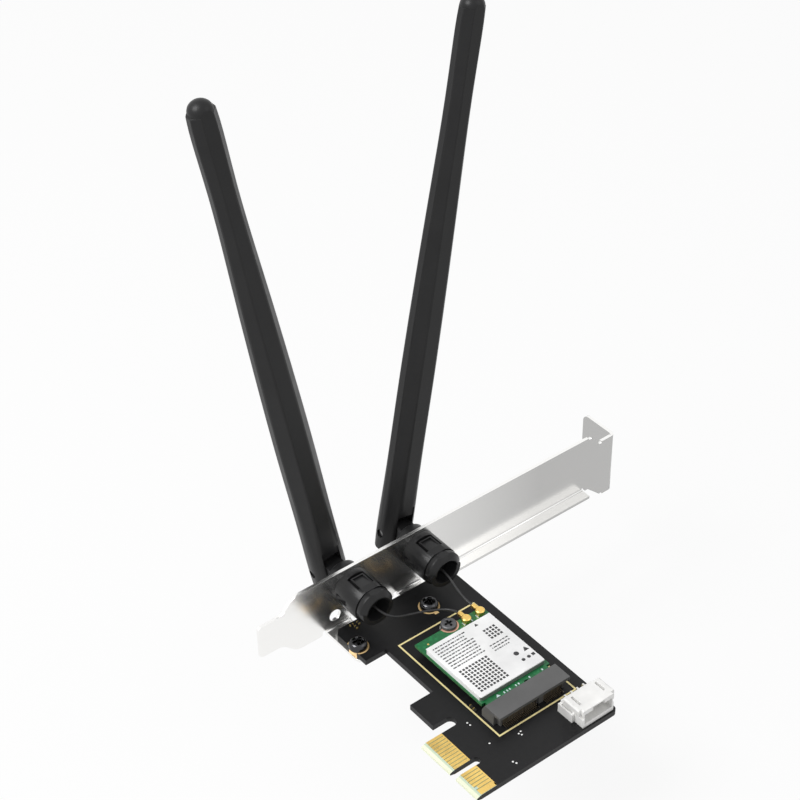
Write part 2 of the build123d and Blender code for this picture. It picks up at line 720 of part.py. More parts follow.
def left_lead():
    """The lead from the left gland, round the screw and into the first jack."""
    return lead([
        (LEFT_AERIAL_X, lead_start_y, AERIAL_RISE),
        (LEFT_AERIAL_X, lead_start_y - 3.6, AERIAL_RISE - 0.3),
        (29.9, -11.9, 7.7),
        (32.6, -13.2, 5.9),
        (36.2, -13.2, 4.4),
        (39.9, -13.6, 3.5),
        (43.2, -14.7, 3.1),
        (45.9, -16.6, 3.2),
        (47.22, -18.8, 3.7),
        (left_jack_x, plug_end_y, lead_z),
    ])


def right_lead():
    """The lead from the right gland to the second jack."""
    return lead([
        (right_aerial_x, lead_start_y, AERIAL_RISE),
        (right_aerial_x, lead_start_y - 3.6, AERIAL_RISE - 0.5),
        (51.2, -11.6, 7.9),
        (51.1, -14.4, 6.2),
        (51.3, -17.2, 4.8),
        (51.6, -19.4, 4.1),
        (right_jack_x, plug_end_y, lead_z),
    ])


def header_housing():
    """The white shrouded cable header: mouth at the board's front edge, rail slots and side wings."""
    right = HEADER_LEFT + HEADER_WIDTH
    middle = HEADER_LEFT + HEADER_WIDTH / 2
    upper_back = HEADER_BACK - SADDLE_LENGTH
    body = box(HEADER_LEFT, right, HEADER_FRONT, HEADER_BACK, 0, SADDLE_HEIGHT)
    body += box(HEADER_LEFT, right, HEADER_FRONT, upper_back, SADDLE_HEIGHT, HEADER_HEIGHT)
    for side in (-1, 1):
        inner = middle + side * HEADER_WIDTH / 2
        outer = inner + side * WING_REACH
        wing = box(inner, outer, HEADER_BACK, HEADER_BACK - WING_LENGTH, 0, WING_HEIGHT)
        groove_back = HEADER_BACK - WING_GROOVE_END
        groove_front = HEADER_BACK - WING_LENGTH + WING_GROOVE_END
        body += wing - box(inner, inner + side * WING_GROOVE, groove_back, groove_front,
                           WING_HEIGHT / 2, WING_HEIGHT)
        shelf_low = HEADER_HEIGHT - SHELF_HEIGHT
        body += box(inner, outer, upper_back, upper_back - SHELF_LENGTH, shelf_low, HEADER_HEIGHT)
    body = chamfer(body.edges().filter_by(Axis.Y).group_by(Axis.Z)[-1], HEADER_EDGE)
    roof = HEADER_HEIGHT - HEADER_ROOF
    mouth_end = HEADER_BACK - HEADER_BACK_WALL
    mouth_half = HEADER_WIDTH / 2 - HEADER_SIDE_WALL
    body -= box(middle - mouth_half, middle + mouth_half, HEADER_FRONT, mouth_end, HEADER_FLOOR, roof)
    key_half = HEADER_KEY_WIDTH / 2
    body -= box(middle - key_half, middle + key_half, HEADER_FRONT, HEADER_FRONT + HEADER_KEY_LENGTH,
                roof, roof + HEADER_KEY_RISE)
    slot_back = HEADER_BACK - RAIL_SLOT_START
    slot_front = slot_back - RAIL_SLOT_LENGTH
    for side in (-1, 1):
        x = middle + side * (HEADER_WIDTH / 2 - RAIL_SLOT_INSET)
        body -= box(x - RAIL_SLOT_WIDTH / 2, x + RAIL_SLOT_WIDTH / 2, slot_back, slot_front,
                    roof, HEADER_HEIGHT)
        corner = middle + side * HEADER_WIDTH / 2
        notch_end = HEADER_FRONT + SIDE_NOTCH_LENGTH
        body -= box(corner, corner - side * SIDE_NOTCH_DEPTH, HEADER_FRONT, notch_end,
                    SIDE_NOTCH_LOW, SIDE_NOTCH_HIGH)
    return body - header_pins()


def header_pin_places():
    """The pins' places across the header."""
    middle = HEADER_LEFT + HEADER_WIDTH / 2
    first = middle - (HEADER_PIN_COUNT - 1) * HEADER_PIN_PITCH / 2
    return [first + i * HEADER_PIN_PITCH for i in range(HEADER_PIN_COUNT)]


def header_pins():
    """The header's angled pins: a contact in the mouth and a tail down to the board behind it."""
    half = HEADER_PIN_SIDE / 2
    z = (HEADER_FLOOR + HEADER_HEIGHT - HEADER_ROOF) / 2
    contact_front = HEADER_BACK - HEADER_BACK_WALL - HEADER_PIN_FREE
    tail_front = HEADER_BACK + HEADER_TAIL_GAP
    tail_back = tail_front + HEADER_PIN_SIDE
    pins = []
    for x in header_pin_places():
        contact = box(x - half, x + half, contact_front, tail_back, z - half, z + half)
        tail = box(x - half, x + half, tail_front, tail_back, 0, z)
        pins.append(contact + tail)
    return Compound(pins)


def chip(x, y, turned):
    """A small surface-mounted chip."""
    length, width = (CHIP_WIDTH, CHIP_LENGTH) if turned else (CHIP_LENGTH, CHIP_WIDTH)
    return box(x - length / 2, x + length / 2, y - width / 2, y + width / 2, 0, CHIP_HEIGHT)


def board_chips():
    """The few loose chips under the left gland and beside the module."""
    return Compound([chip(x, y, turned) for x, y, turned in CHIPS])


def gland(x):
    """The snap-in bush behind the bracket: latch tongue on top, side pocket, half collar and lower lip."""
    z = AERIAL_RISE
    barrel_end = -GLAND_BARREL
    groove_end = barrel_end - GLAND_GROOVE
    mouth = groove_end - GLAND_COLLAR
    body = along_y(x, z, 0, barrel_end, GLAND_R)
    body += along_y(x, z, barrel_end, groove_end, GLAND_R - GLAND_GROOVE_DEPTH)
    body += along_y(x, z, 0, SHEET, GLAND_NECK_R)

    taper_start = groove_end - GLAND_COLLAR_STRAIGHT
    split = z + GLAND_COLLAR_RISE
    collar = along_y(x, z, groove_end, taper_start, GLAND_COLLAR_R)
    collar += along_y(x, z, taper_start, mouth, GLAND_COLLAR_R, GLAND_MOUTH_R)
    body += collar & box(x - GLAND_R, x + GLAND_R, mouth, groove_end, split, z + GLAND_R)
    lip = along_y(x, z, groove_end, mouth + GLAND_LIP_SETBACK, GLAND_LOW_R)
    body += lip & box(x - GLAND_R, x + GLAND_R, mouth, groove_end, z - GLAND_R, split)

    body -= along_y(x, z, -STEM_END, mouth - PAST, GLAND_BORE_R)
    body -= along_y(x, z, SHEET + PAST, -STEM_END, STEM_R + STEM_CLEARANCE)
    flat = z + GLAND_R - LATCH_FLAT
    body -= box(x - GLAND_R, x + GLAND_R, mouth - PAST, -LATCH_START, flat, z + GLAND_R + PAST)
    return body - latch_gap(x, z, flat) - side_pocket(x, z)


def latch_gap(x, z, flat):
    """The U-shaped gap that frees the latch tongue, and the dished ramp in the tongue's flat top."""
    start = -LATCH_START
    end = start - LATCH_LENGTH
    half = LATCH_WIDTH / 2
    floor = z + GLAND_R - LATCH_CUT
    top = z + GLAND_R + PAST
    gap = box(x - half - LATCH_GAP, x + half + LATCH_GAP, end, start, floor, top)
    gap -= box(x - half, x + half, end, start - LATCH_GAP, floor, top)
    rim_back = start - LATCH_GAP - LATCH_RIM
    dish_left = x - half + LATCH_RIM
    dish = make_face(Polyline(
        (dish_left, rim_back, top),
        (dish_left, end, top),
        (dish_left, end, flat),
        (dish_left, rim_back, flat - LATCH_DISH),
        close=True,
    ))
    return gap + extrude(dish, amount=LATCH_WIDTH - 2 * LATCH_RIM, dir=(1, 0, 0))


def side_pocket(x, z):
    """The pocket with its barb on the gland's left side."""
    outer = x - GLAND_R
    floor = outer + POCKET_DEPTH
    low = z - POCKET_LOW
    start = -POCKET_START
    end = start - POCKET_LENGTH
    pocket = box(outer - PAST, floor, end, start, low, z + POCKET_HIGH)
    barb = make_face(Polyline(
        (floor, start, low),
        (outer + BARB_TIP_DEPTH, start, low),
        (floor, end + BARB_END_GAP, low),
        close=True,
    ))
    return pocket - extrude(barb, amount=BARB_HEIGHT, dir=(0, 0, 1))


def turned_to(x, lean, shape):
    """Place a piece drawn upright at the swivel's centre, leaning in the bracket's plane."""
    return Pos(x, 0, AERIAL_RISE) * Rot(Y=lean) * shape


def swivel():
    """The swivel: lipped stem, round collar outside the bracket, and the hinge knuckle."""
    seat = SHEET + END_PLAY
    body = along_y(0, 0, seat, -STEM_END - END_PLAY, STEM_R)
    body += along_y(0, 0, -STEM_END - END_PLAY, stem_end_y, STEM_R + STEM_LIP_RISE)
    collar = along_y(0, 0, seat, COLLAR_FRONT, COLLAR_R)
    collar = chamfer(collar.edges().group_by(Axis.Y)[-1], COLLAR_EDGE)
    body += collar
    half = KNUCKLE_WIDTH / 2
    body += box(-half, half, COLLAR_FRONT - COLLAR_EDGE, PIVOT_REACH, -KNUCKLE_R, KNUCKLE_R)
    body += along_x(-half, half, PIVOT_REACH, 0, KNUCKLE_R)
    body -= along_x(-half, half, PIVOT_REACH, 0, PIVOT_R + PIVOT_CLEARANCE)
    return body - along_y(0, 0, stem_end_y, lead_start_y, STEM_BORE_R)


def section(width, depth, corner, edge_r):
    """An aerial's cross-section: a rectangle with cut corners and softened edges."""
    w = width / 2
    d = depth / 2
    points = [
        (w, corner - d), (w, d - corner), (w - corner, d), (corner - w, d),
        (-w, d - corner), (-w, corner - d), (corner - w, -d), (w - corner, -d),
    ]
    face = make_face(Polyline(*points, close=True))
    return fillet(face.vertices(), edge_r)


def aerial():
    """The aerial's moulded rod: clevis fork at the pivot, faceted flare, domed tip."""
    faces = [Pos(0, PIVOT_REACH, s) * section(w, d, c, r) for s, w, d, c, r in AERIAL_SECTIONS]
    rod = loft(faces)
    heel_low = -FORK_END - PAST
    dome_start = AERIAL_REACH - TIP_DOME
    taper_start = dome_start - TIP_DOME
    round_end = make_face([
        Line((0, heel_low), (fork_width, heel_low)),
        Line((fork_width, heel_low), (fork_width, taper_start)),
        Line((fork_width, taper_start), (TIP_R, dome_start)),
        EllipticalCenterArc((0, dome_start), TIP_R, TIP_DOME, start_angle=0, arc_size=90),
        Line((0, AERIAL_REACH), (0, heel_low)),
    ])
    rod &= Pos(0, PIVOT_REACH, 0) * revolve(Plane.XZ * round_end, axis=Axis.Z)

    fork_centre = FORK_END_R - FORK_END
    back = PIVOT_REACH - fork_depth / 2
    near_cut = back - PAST
    far_cut = PIVOT_REACH + fork_depth / 2 + PAST
    heel = box(-fork_width, fork_width, near_cut, far_cut, heel_low, fork_centre)
    heel -= along_x(-fork_width, fork_width, PIVOT_REACH, fork_centre, FORK_END_R)
    rod -= heel
    rod -= box(-fork_gap, fork_gap, near_cut, far_cut, heel_low, FORK_CROTCH)
    rod -= box(-fork_gap, fork_gap, near_cut, back + FORK_STEP_DEPTH, FORK_CROTCH, FORK_STEP)
    rod -= along_x(-fork_width, fork_width, PIVOT_REACH, 0, PIVOT_R + PIVOT_SEAT_CLEARANCE)
    for side in (-1, 1):
        ends = sorted((side * (fork_width / 2 + PAST), side * (fork_width / 2 - PIVOT_RECESS_DEPTH)))
        rod -= along_x(*ends, PIVOT_REACH, 0, PIVOT_RECESS_R)
    return rod - upright(0, PIVOT_REACH, FORK_CROTCH, AERIAL_BORE_END, AERIAL_BORE_R)


def hinge_pin():
    """The plain pin through the fork and the knuckle."""
    half = fork_width / 2 - PIVOT_RECESS_DEPTH
    return along_x(-half, half, PIVOT_REACH, 0, PIVOT_R)


def radiator():
    """The aerial's inner conductor: thin coax, brass sleeve and the rod above it."""
    sleeve_low, sleeve_high = RADIATOR_SLEEVE
    start = FORK_CROTCH + RADIATOR_SETBACK
    inner = upright(0, PIVOT_REACH, start, sleeve_low, RADIATOR_COAX_R)
    inner += upright(0, PIVOT_REACH, sleeve_low, sleeve_high, AERIAL_BORE_R - RADIATOR_GAP)
    return inner + upright(0, PIVOT_REACH, sleeve_high, AERIAL_BORE_END, RADIATOR_ROD_R)


def all_pieces():
    """Every piece by its name, in the places described at the top."""
    pieces = {
        "bracket": bracket(),
        "circuit_board": circuit_board(),
        "edge_contacts_top": edge_contacts(True),
        "edge_contacts_bottom": edge_contacts(False),
        "outline_trace": outline_trace(),
        "screw_pads": screw_pads(),
        "bracket_screws": bracket_screws(),
        "board_chips": board_chips(),
        "module_board": module_board(),
        "shield_can": shield_can(),
        "module_label": module_label(),
        "module_standoff": module_standoff(),
        "module_ring": module_ring(),
        "module_screw": module_screw(),
        "module_socket": module_socket(),
        "socket_contacts": socket_contacts(),
        "coax_jacks": coax_jacks(),
        "left_plug": coax_plug(left_jack_x),
        "right_plug": coax_plug(right_jack_x),
        "left_lead": left_lead(),
        "right_lead": right_lead(),
        "header_housing": header_housing(),
        "header_pins": header_pins(),
    }
    for side, x, lean in (("left", LEFT_AERIAL_X, LEFT_LEAN), ("right", right_aerial_x, RIGHT_LEAN)):
        pieces[side + "_gland"] = gland(x)
        pieces[side + "_swivel"] = turned_to(x, lean, swivel())
        pieces[side + "_hinge_pin"] = turned_to(x, lean, hinge_pin())
        pieces[side + "_aerial"] = turned_to(x, lean, aerial())
        pieces[side + "_radiator"] = turned_to(x, lean, radiator())
    return pieces


os.makedirs("parts", exist_ok=True)
to_seat = Pos(-seat_x, -SLOT_SEAT_Y, -slot_z)
for name, piece in all_pieces().items():
    export_step(to_seat * piece, "parts/" + name + ".step")
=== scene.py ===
import math
import random

import bmesh
import bpy
from bpy.props import FloatProperty, FloatVectorProperty, IntProperty, PointerProperty
from mathutils import Matrix, Vector


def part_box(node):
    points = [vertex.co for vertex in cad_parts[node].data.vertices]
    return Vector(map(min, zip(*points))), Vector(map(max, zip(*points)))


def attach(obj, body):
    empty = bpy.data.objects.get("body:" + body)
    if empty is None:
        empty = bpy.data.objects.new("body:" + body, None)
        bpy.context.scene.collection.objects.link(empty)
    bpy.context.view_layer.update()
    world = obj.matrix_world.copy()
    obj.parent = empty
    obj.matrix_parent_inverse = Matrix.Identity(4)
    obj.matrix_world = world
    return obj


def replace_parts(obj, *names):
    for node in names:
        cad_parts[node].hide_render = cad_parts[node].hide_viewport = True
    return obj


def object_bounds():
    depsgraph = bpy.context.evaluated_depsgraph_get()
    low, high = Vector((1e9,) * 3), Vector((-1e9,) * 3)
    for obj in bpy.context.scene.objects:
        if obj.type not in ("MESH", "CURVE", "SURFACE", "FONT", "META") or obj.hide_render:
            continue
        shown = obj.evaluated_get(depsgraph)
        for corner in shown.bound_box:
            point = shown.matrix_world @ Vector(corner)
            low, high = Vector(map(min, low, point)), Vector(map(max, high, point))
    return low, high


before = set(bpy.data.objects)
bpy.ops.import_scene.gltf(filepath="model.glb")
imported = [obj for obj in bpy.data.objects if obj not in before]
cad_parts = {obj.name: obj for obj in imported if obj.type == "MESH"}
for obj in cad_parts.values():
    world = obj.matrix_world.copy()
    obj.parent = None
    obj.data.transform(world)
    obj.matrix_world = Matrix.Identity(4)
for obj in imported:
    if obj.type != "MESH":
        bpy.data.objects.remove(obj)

cad_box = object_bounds()

bl_info = {
    "name": "Wireless card",
    "version": (1, 0, 0),
    "blender": (4, 5, 0),
    "location": "View3D > Sidebar > Wireless card",
    "description": "Finishes, screws, leads, print and studio for a small card with two aerials",
    "category": "Object",
}

MM = 0.001
SEED = 7

# Sizes and places from here to the leads' routes are in millimetres, apart from shares and counts.
# Places are measured from the tongue's tip, the bracket's inner face and the board's top face, and
# the shared frame's origin is at the bracket's screw slot.
SCREW_SLOT = Vector((119.1, 6.35, 1.42))

# Along the bracket, where the plate's painted reflection is full and where it has faded out
PAINTED_SHEEN_FULL = 20.0
PAINTED_SHEEN_NONE = 92.0

# Along the board, where the can, the key notch and the finger end
CAN_FRONT = -47.0
KEY_BACK = -57.475
KEY_FRONT = -59.625
FINGER_FRONT = -67.32

# The edge contacts, as modelled: how far they stand in from the board's bevelled edge, and how far
# the bare laminate reaches behind them
CONTACT_PITCH = 1.0
CONTACT_WIDTH = 0.85
CONTACT_INSET = 1.35
FINGER_MARGIN = 0.45

# The plated rims and bare gaps laid on the contact row, and how proud of it they stand
RIM_WIDTH = 0.28
RIM_OVERHANG = 0.02
RIM_LIFT = 0.004
GAP_WIDTH = 0.25
GAP_LIFT = 0.006

# The loose chips' centres, whether each lies along Y, and which of its ends are plated
CHIPS = (
    (25.7, -3.65, False, (-1, 1)),
    (27.55, -4.1, True, (-1, 1)),
    (26.15, -5.0, True, (-1, 1)),
    (31.4, -44.6, True, (1,)),
    (31.4, -45.9, True, (1,)),
)
CHIP_HALF_LENGTH = 0.5
CHIP_HALF_WIDTH = 0.25
CHIP_HEIGHT = 0.45
CAP_LENGTH = 0.17
CAP_SKIN = 0.012

# The soldered test points' centres, their radius, and their height as a share of it
TEST_POINTS = (
    (27.34, -47.9), (27.43, -48.88),
    (27.29, -56.29),
    (34.74, -58.32), (35.13, -59.03), (35.62, -58.02),
    (27.82, -64.2), (28.2, -65.08),
)
DOT_RADIUS = 0.26
DOT_SQUASH = 0.35

# Pan heads: radius, height and edge rounding, then their cross's span, blade and depth, and the
# radius of the ridged shank
BRACKET_HEAD = (2.45, 1.9, 1.25)
BRACKET_CROSS = (3.1, 0.85, 0.9)
BRACKET_SHANK = 1.4
MODULE_HEAD = (2.15, 1.0, 0.55)
MODULE_CROSS = (2.7, 0.75, 0.95)
MODULE_SHANK = 0.85

# How far each screw's cross is turned, in radians
BRACKET_TURNS = (0.35, 0.1)
MODULE_TURNS = (0.0,)

# From each ridge of a shank to the next groove, and how deep the groove is
RIDGE_STEP = 0.25
RIDGE_DEPTH = 0.13

# How far around a point a hollow is felt, for the painted shade in hollows
PAINTED_SHADE_REACH = 0.8

# Shares of a head's sizes: its crown, of the edge rounding, the slopes at the ends and sides of its
# cross, of the span and blade, and the cross's depth at its ends, of that at its middle
CROWN_SHARE = 0.08
END_SLOPE = 0.16
SIDE_SLOPE = 0.22
END_DEPTH = 0.6

# A screw's skin: rings on its head, and points round each
HEAD_RINGS = 44
SPOKES = 112

# The radio module's top face, with its tinned pads and its marks
MODULE_TOP = 3.2
PAD_THICKNESS = 0.05
PAD_HALF_WIDTH = 0.18
SOCKET_PADS = (38.8, 39.75, 40.6, 42.55, 43.45, 46.95, 51.1)
SOCKET_PAD_ENDS = (-48.45, -47.85)
JACK_PADS = (46.2, 48.65, 50.55)
JACK_PAD_ENDS = (-24.4, -23.2)
CORNER_MARK = ((36.2, -48.4), (37.5, -48.4), (36.85, -47.55))
ROUND_MARK = (34.7, -23.7)
ROUND_MARK_RADII = (0.3, 0.27)
ROUND_MARK_DEPTH = 0.06

# The can's upright corners, the soft top edges of the can and of the label's sheet, and how far the
# sheet stands in from the can's front
CAN_CORNER = 0.5
CAN_EDGE = 0.12
LABEL_EDGE = 0.03
LABEL_INSET = 0.05

# The thin skins on two of the can's walls, a white one on the left and one of painted shade on the front:
# how far each stands proud, is sunk in, and ends below the can's top on the left wall and on the front
# wall
SKIN_PROUD = 0.02
SKIN_SUNK = 0.01
FLAP_DROP = 0.06
FRONT_DROP = 0.1

# Rounding of the edges of the module's board, its socket and the other mouldings
MODULE_EDGE = 0.07
SOCKET_EDGE = 0.08
MOULDED_EDGE = 0.1

# The label's print: bars of random widths in long and short lines, where the long ones end ragged
# and the short ones taper
BAR_LEAST = 0.3
BAR_GAP = 0.24
LONG_LEFT = 33.4
LONG_RIGHT = 42.6
LONG_RAGGED = 1.2
LONG_BACK = -26.95
LONG_DEPTH = 0.36
LONG_SPREAD = 0.8
PRINT_STEP = 1.02
SHORT_LINES = 3
SHORT_LEFT = 45.3
SHORT_RIGHT = 50.8
SHORT_TAPER = 0.3
SHORT_BACK = -34.8
SHORT_STEP = 0.98
SHORT_DEPTH = 0.34
SHORT_SPREAD = 0.7

# Fields of squares by left edge, back edge and count, spots by centre, radius and number of sides,
# and one square by left edge, back edge and side
SQUARE_FIELDS = ((33.7, -36.8, 9), (47.4, -29.6, 4))
SQUARE_SIDE = 0.68
SPOTS = (
    (48.8, -41.0, 0.7, 32),
    (51.7, -41.2, 0.95, 3),
    (47.45, -27.1, 0.65, 3),
    (48.85, -43.7, 0.5, 32),
    (50.6, -43.7, 0.5, 32),
)
PLAIN_SQUARE = (51.6, -43.2, 0.9)

# The leads' routes, with the same control points as the modelled tubes
LEFT_ROUTE = (
    (28.7, -4.8, 9.6),
    (28.7, -8.4, 9.3),
    (29.9, -11.9, 7.7),
    (32.6, -13.2, 5.9),
    (36.2, -13.2, 4.4),
    (39.9, -13.6, 3.5),
    (43.2, -14.7, 3.1),
    (45.9, -16.6, 3.2),
    (47.22, -18.8, 3.7),
    (47.32, -20.65, 3.95),
)
RIGHT_ROUTE = (
    (50.7, -4.8, 9.6),
    (50.7, -8.4, 9.1),
    (51.2, -11.6, 7.9),
    (51.1, -14.4, 6.2),
    (51.3, -17.2, 4.8),
    (51.6, -19.4, 4.1),
    (51.82, -20.65, 3.95),
)

# The studio, in metres of the shared frame: the lamps' places and sides, and the point they face
KEY_PLACE = (-0.6, 0.12, 0.75)
KEY_SIDE = 0.45
FILL_PLACE = (0.35, -0.5, 0.65)
FILL_SIDE = 0.5
LIT_POINT = (-0.07, -0.02, 0.05)

# How much of the floor's look is white paper where the camera sees it
FLOOR_GLOW = 0.9

# Welding of a modelled node's points in metres, and the angles that count as sharp in radians
WELD_REACH = 2e-6
EDGE_ANGLE = 0.6
SHARP_ANGLE = 0.7
SCREW_SHARP_ANGLE = 0.8

BLACK = (0.0, 0.0, 0.0)
WHITE = (1.0, 1.0, 1.0)

# The part of a noise's range that colours and roughness follow, and how open a point is where painted
# shade turns it black in a hollow and where its own colour stays
NOISE_LOW = 0.3
NOISE_HIGH = 0.7
PAINTED_SHADE_BLACK = 0.45
PAINTED_SHADE_CLEAR = 0.8

# The finger's laminate between and behind the contacts, and how much a face may look along Y before
# it stays masked
INNER_LAMINATE = (0.52, 0.66, 0.6)
SIDE_LIMIT = 0.5


def card_point(x, y, z):
    """A place given in millimetres from the bracket's tongue, as a point in the shared frame."""
    return (Vector((x, y, z)) - SCREW_SLOT) * MM


def card_y(y):
    """A place along the board, in the shared frame."""
    return card_point(0, y, 0).y


def metres(*sizes):
    """Sizes given in millimetres, in metres."""
    return tuple(size * MM for size in sizes)


# Helpers for node materials


def add_node(tree, kind, **values):
    """A shader node with its named sockets or settings filled in."""
    node = tree.nodes.new(kind)
    for key, value in values.items():
        if key in node.inputs:
            node.inputs[key].default_value = value
        else:
            setattr(node, key, value)
    return node


def feed(tree, socket, value):
    """Links an output to a socket, or sets the socket to a plain value."""
    if isinstance(value, bpy.types.NodeSocket):
        tree.links.new(value, socket)
    else:
        socket.default_value = value


def calculate(tree, operation, *values):
    """A number worked out from outputs and plain numbers."""
    node = add_node(tree, "ShaderNodeMath", operation=operation)
    for socket, value in zip(node.inputs, values):
        feed(tree, socket, value)
    return node.outputs["Value"]


def rescale(tree, value, from_low, from_high, to_low=0.0, to_high=1.0):
    """An output moved from one range to another, and held inside it."""
    spread = add_node(tree, "ShaderNodeMapRange")
    spread.inputs["From Min"].default_value = from_low
    spread.inputs["From Max"].default_value = from_high
    spread.inputs["To Min"].default_value = to_low
    spread.inputs["To Max"].default_value = to_high
    tree.links.new(value, spread.inputs["Value"])
    return spread.outputs["Result"]


def separate(tree, kind, output):
    """The X, Y and Z of an input node's vector."""
    source = add_node(tree, kind)
    axes = add_node(tree, "ShaderNodeSeparateXYZ")
    tree.links.new(source.outputs[output], axes.inputs["Vector"])
    return axes.outputs


def colour_ramp(tree, value, *stops):
    """A colour picked by an output, from stops that each have a place and a colour."""
    ramp = add_node(tree, "ShaderNodeValToRGB")
    steps = ramp.color_ramp.elements
    for i, (position, tone) in enumerate(stops):
        step = steps[i] if i < 2 else steps.new(position)
        step.position = position
        step.color = (*tone, 1.0)
    tree.links.new(value, ramp.inputs["Fac"])
    return ramp.outputs["Color"]


def mix_colours(tree, shader, factor, first, second, kind="MIX"):
    """Base colour mixed from two colours, each an output or plain."""
    blend = add_node(tree, "ShaderNodeMix", data_type="RGBA", blend_type=kind)
    feed(tree, blend.inputs["Factor"], factor)
    feed(tree, blend.inputs["A"], first)
    feed(tree, blend.inputs["B"], second)
    tree.links.new(blend.outputs["Result"], shader.inputs["Base Color"])


def mix_shaders(tree, factor, first, second, out):
    """Sends a mix of two shaders to the tree's output node."""
    mix = add_node(tree, "ShaderNodeMixShader")
    tree.links.new(factor, mix.inputs["Fac"])
    tree.links.new(first, mix.inputs[1])
    tree.links.new(second, mix.inputs[2])
    tree.links.new(mix.outputs["Shader"], out.inputs["Surface"])


def surface(name, colour, metallic, roughness, specular=0.5):
    """A new material with one principled shader, and the parts that its finish links to."""
    material = bpy.data.materials.new(name)
    material.use_nodes = True
    tree = material.node_tree
    shader = tree.nodes["Principled BSDF"]
    shader.inputs["Base Color"].default_value = (*colour, 1.0)
    shader.inputs["Metallic"].default_value = metallic
    shader.inputs["Roughness"].default_value = roughness
    shader.inputs["Specular IOR Level"].default_value = specular
    return material, tree, shader


def object_noise(tree, scale, stretch=(1.0, 1.0, 1.0), detail=3.0):
    """Noise fixed to the piece, with scale in features per metre."""
    place = add_node(tree, "ShaderNodeTexCoord")
    mapping = add_node(tree, "ShaderNodeMapping", Scale=stretch)
    noise = add_node(tree, "ShaderNodeTexNoise", Scale=scale, Detail=detail, Roughness=0.6)
    tree.links.new(place.outputs["Object"], mapping.inputs["Vector"])
    tree.links.new(mapping.outputs["Vector"], noise.inputs["Vector"])
    return noise.outputs["Fac"]


def scaled(colour, factor):
    """A colour made lighter or darker."""
    return tuple(min(1.0, channel * factor) for channel in colour)


def vary_colour(tree, shader, noise, colour, darkest, lightest):
    """Base colour that drifts with a noise between two scaled tones."""
    stops = ((NOISE_LOW, scaled(colour, darkest)), (NOISE_HIGH, scaled(colour, lightest)))
    drift = colour_ramp(tree, noise, *stops)
    tree.links.new(drift, shader.inputs["Base Color"])
    return drift


def vary_roughness(tree, shader, noise, low, high):
    """Roughness that drifts with a noise between two values."""
    drift = rescale(tree, noise, NOISE_LOW, NOISE_HIGH, low, high)
    tree.links.new(drift, shader.inputs["Roughness"])


def bumped(tree, shader, relief, height):
    """A fine relief of the given height in metres, from a node's output."""
    bump = add_node(tree, "ShaderNodeBump", Strength=1.0, Distance=height)
    tree.links.new(relief, bump.inputs["Height"])
    tree.links.new(bump.outputs["Normal"], shader.inputs["Normal"])


def paint_shade_in_hollows(material):
    """Painted shade: turns a material black in its hollows, by how enclosed each point is."""
    tree = material.node_tree
    shader = tree.nodes["Principled BSDF"]
    tone = shader.inputs["Base Color"].links[0].from_socket
    shade = add_node(tree, "ShaderNodeAmbientOcclusion", Distance=PAINTED_SHADE_REACH * MM)
    painted_shade_factor = colour_ramp(tree, shade.outputs["AO"], (PAINTED_SHADE_BLACK, BLACK), (PAINTED_SHADE_CLEAR, WHITE))
    mix_colours(tree, shader, 1.0, tone, painted_shade_factor, "MULTIPLY")


def satin_plastic(name, colour, roughness, grain, height=4e-6, specular=0.5):
    """A moulded plastic with slight sheen changes and a fine grain, in features per metre."""
    material, tree, shader = surface(name, colour, 0.0, roughness, specular)
    broad = object_noise(tree, 90.0)
    vary_colour(tree, shader, broad, colour, 0.85, 1.15)
    vary_roughness(tree, shader, broad, roughness - 0.05, roughness + 0.06)
    bumped(tree, shader, object_noise(tree, grain, detail=2.0), height)
    return material


def plated_metal(name, colour, roughness, metallic=1.0):
    """A plated metal with a soft mottle."""
    material, tree, shader = surface(name, colour, metallic, roughness)
    broad = object_noise(tree, 260.0)
    vary_colour(tree, shader, broad, colour, 0.93, 1.05)
    vary_roughness(tree, shader, broad, roughness - 0.06, roughness + 0.08)
    bumped(tree, shader, object_noise(tree, 2600.0, detail=2.0), 1e-6)
    return material


def rolled_nickel(name, colour, painted_sheen_tone):
    """Nickel plate over rolled sheet: smooth, with a faint streak in its sheen along the bracket.

    Painted reflection: nearer the tongue and on upturned faces and edges the colour is mixed into a
    lighter tone, standing in for the light the plate reflects there.
    """
    material, tree, shader = surface(name, colour, 1.0, 0.24)
    streaks = object_noise(tree, 700.0, stretch=(0.03, 1.0, 1.0), detail=4.0)
    plate = vary_colour(tree, shader, streaks, colour, 0.985, 1.01)
    place = separate(tree, "ShaderNodeTexCoord", "Object")
    facing = separate(tree, "ShaderNodeNewGeometry", "True Normal")
    # Painted reflection: the share of the lighter tone, by place along the bracket and by how far a face
    # looks up
    sheen_none_x, sheen_full_x = (card_point(x, 0, 0).x for x in (PAINTED_SHEEN_NONE, PAINTED_SHEEN_FULL))
    painted_sheen_share = calculate(tree, "MAXIMUM", rescale(tree, place["X"], sheen_none_x, sheen_full_x), facing["Z"])
    mix_colours(tree, shader, painted_sheen_share, plate, (*painted_sheen_tone, 1.0))
    vary_roughness(tree, shader, streaks, 0.22, 0.27)
    bumped(tree, shader, object_noise(tree, 3200.0, detail=2.0), 1.5e-7)
    return material


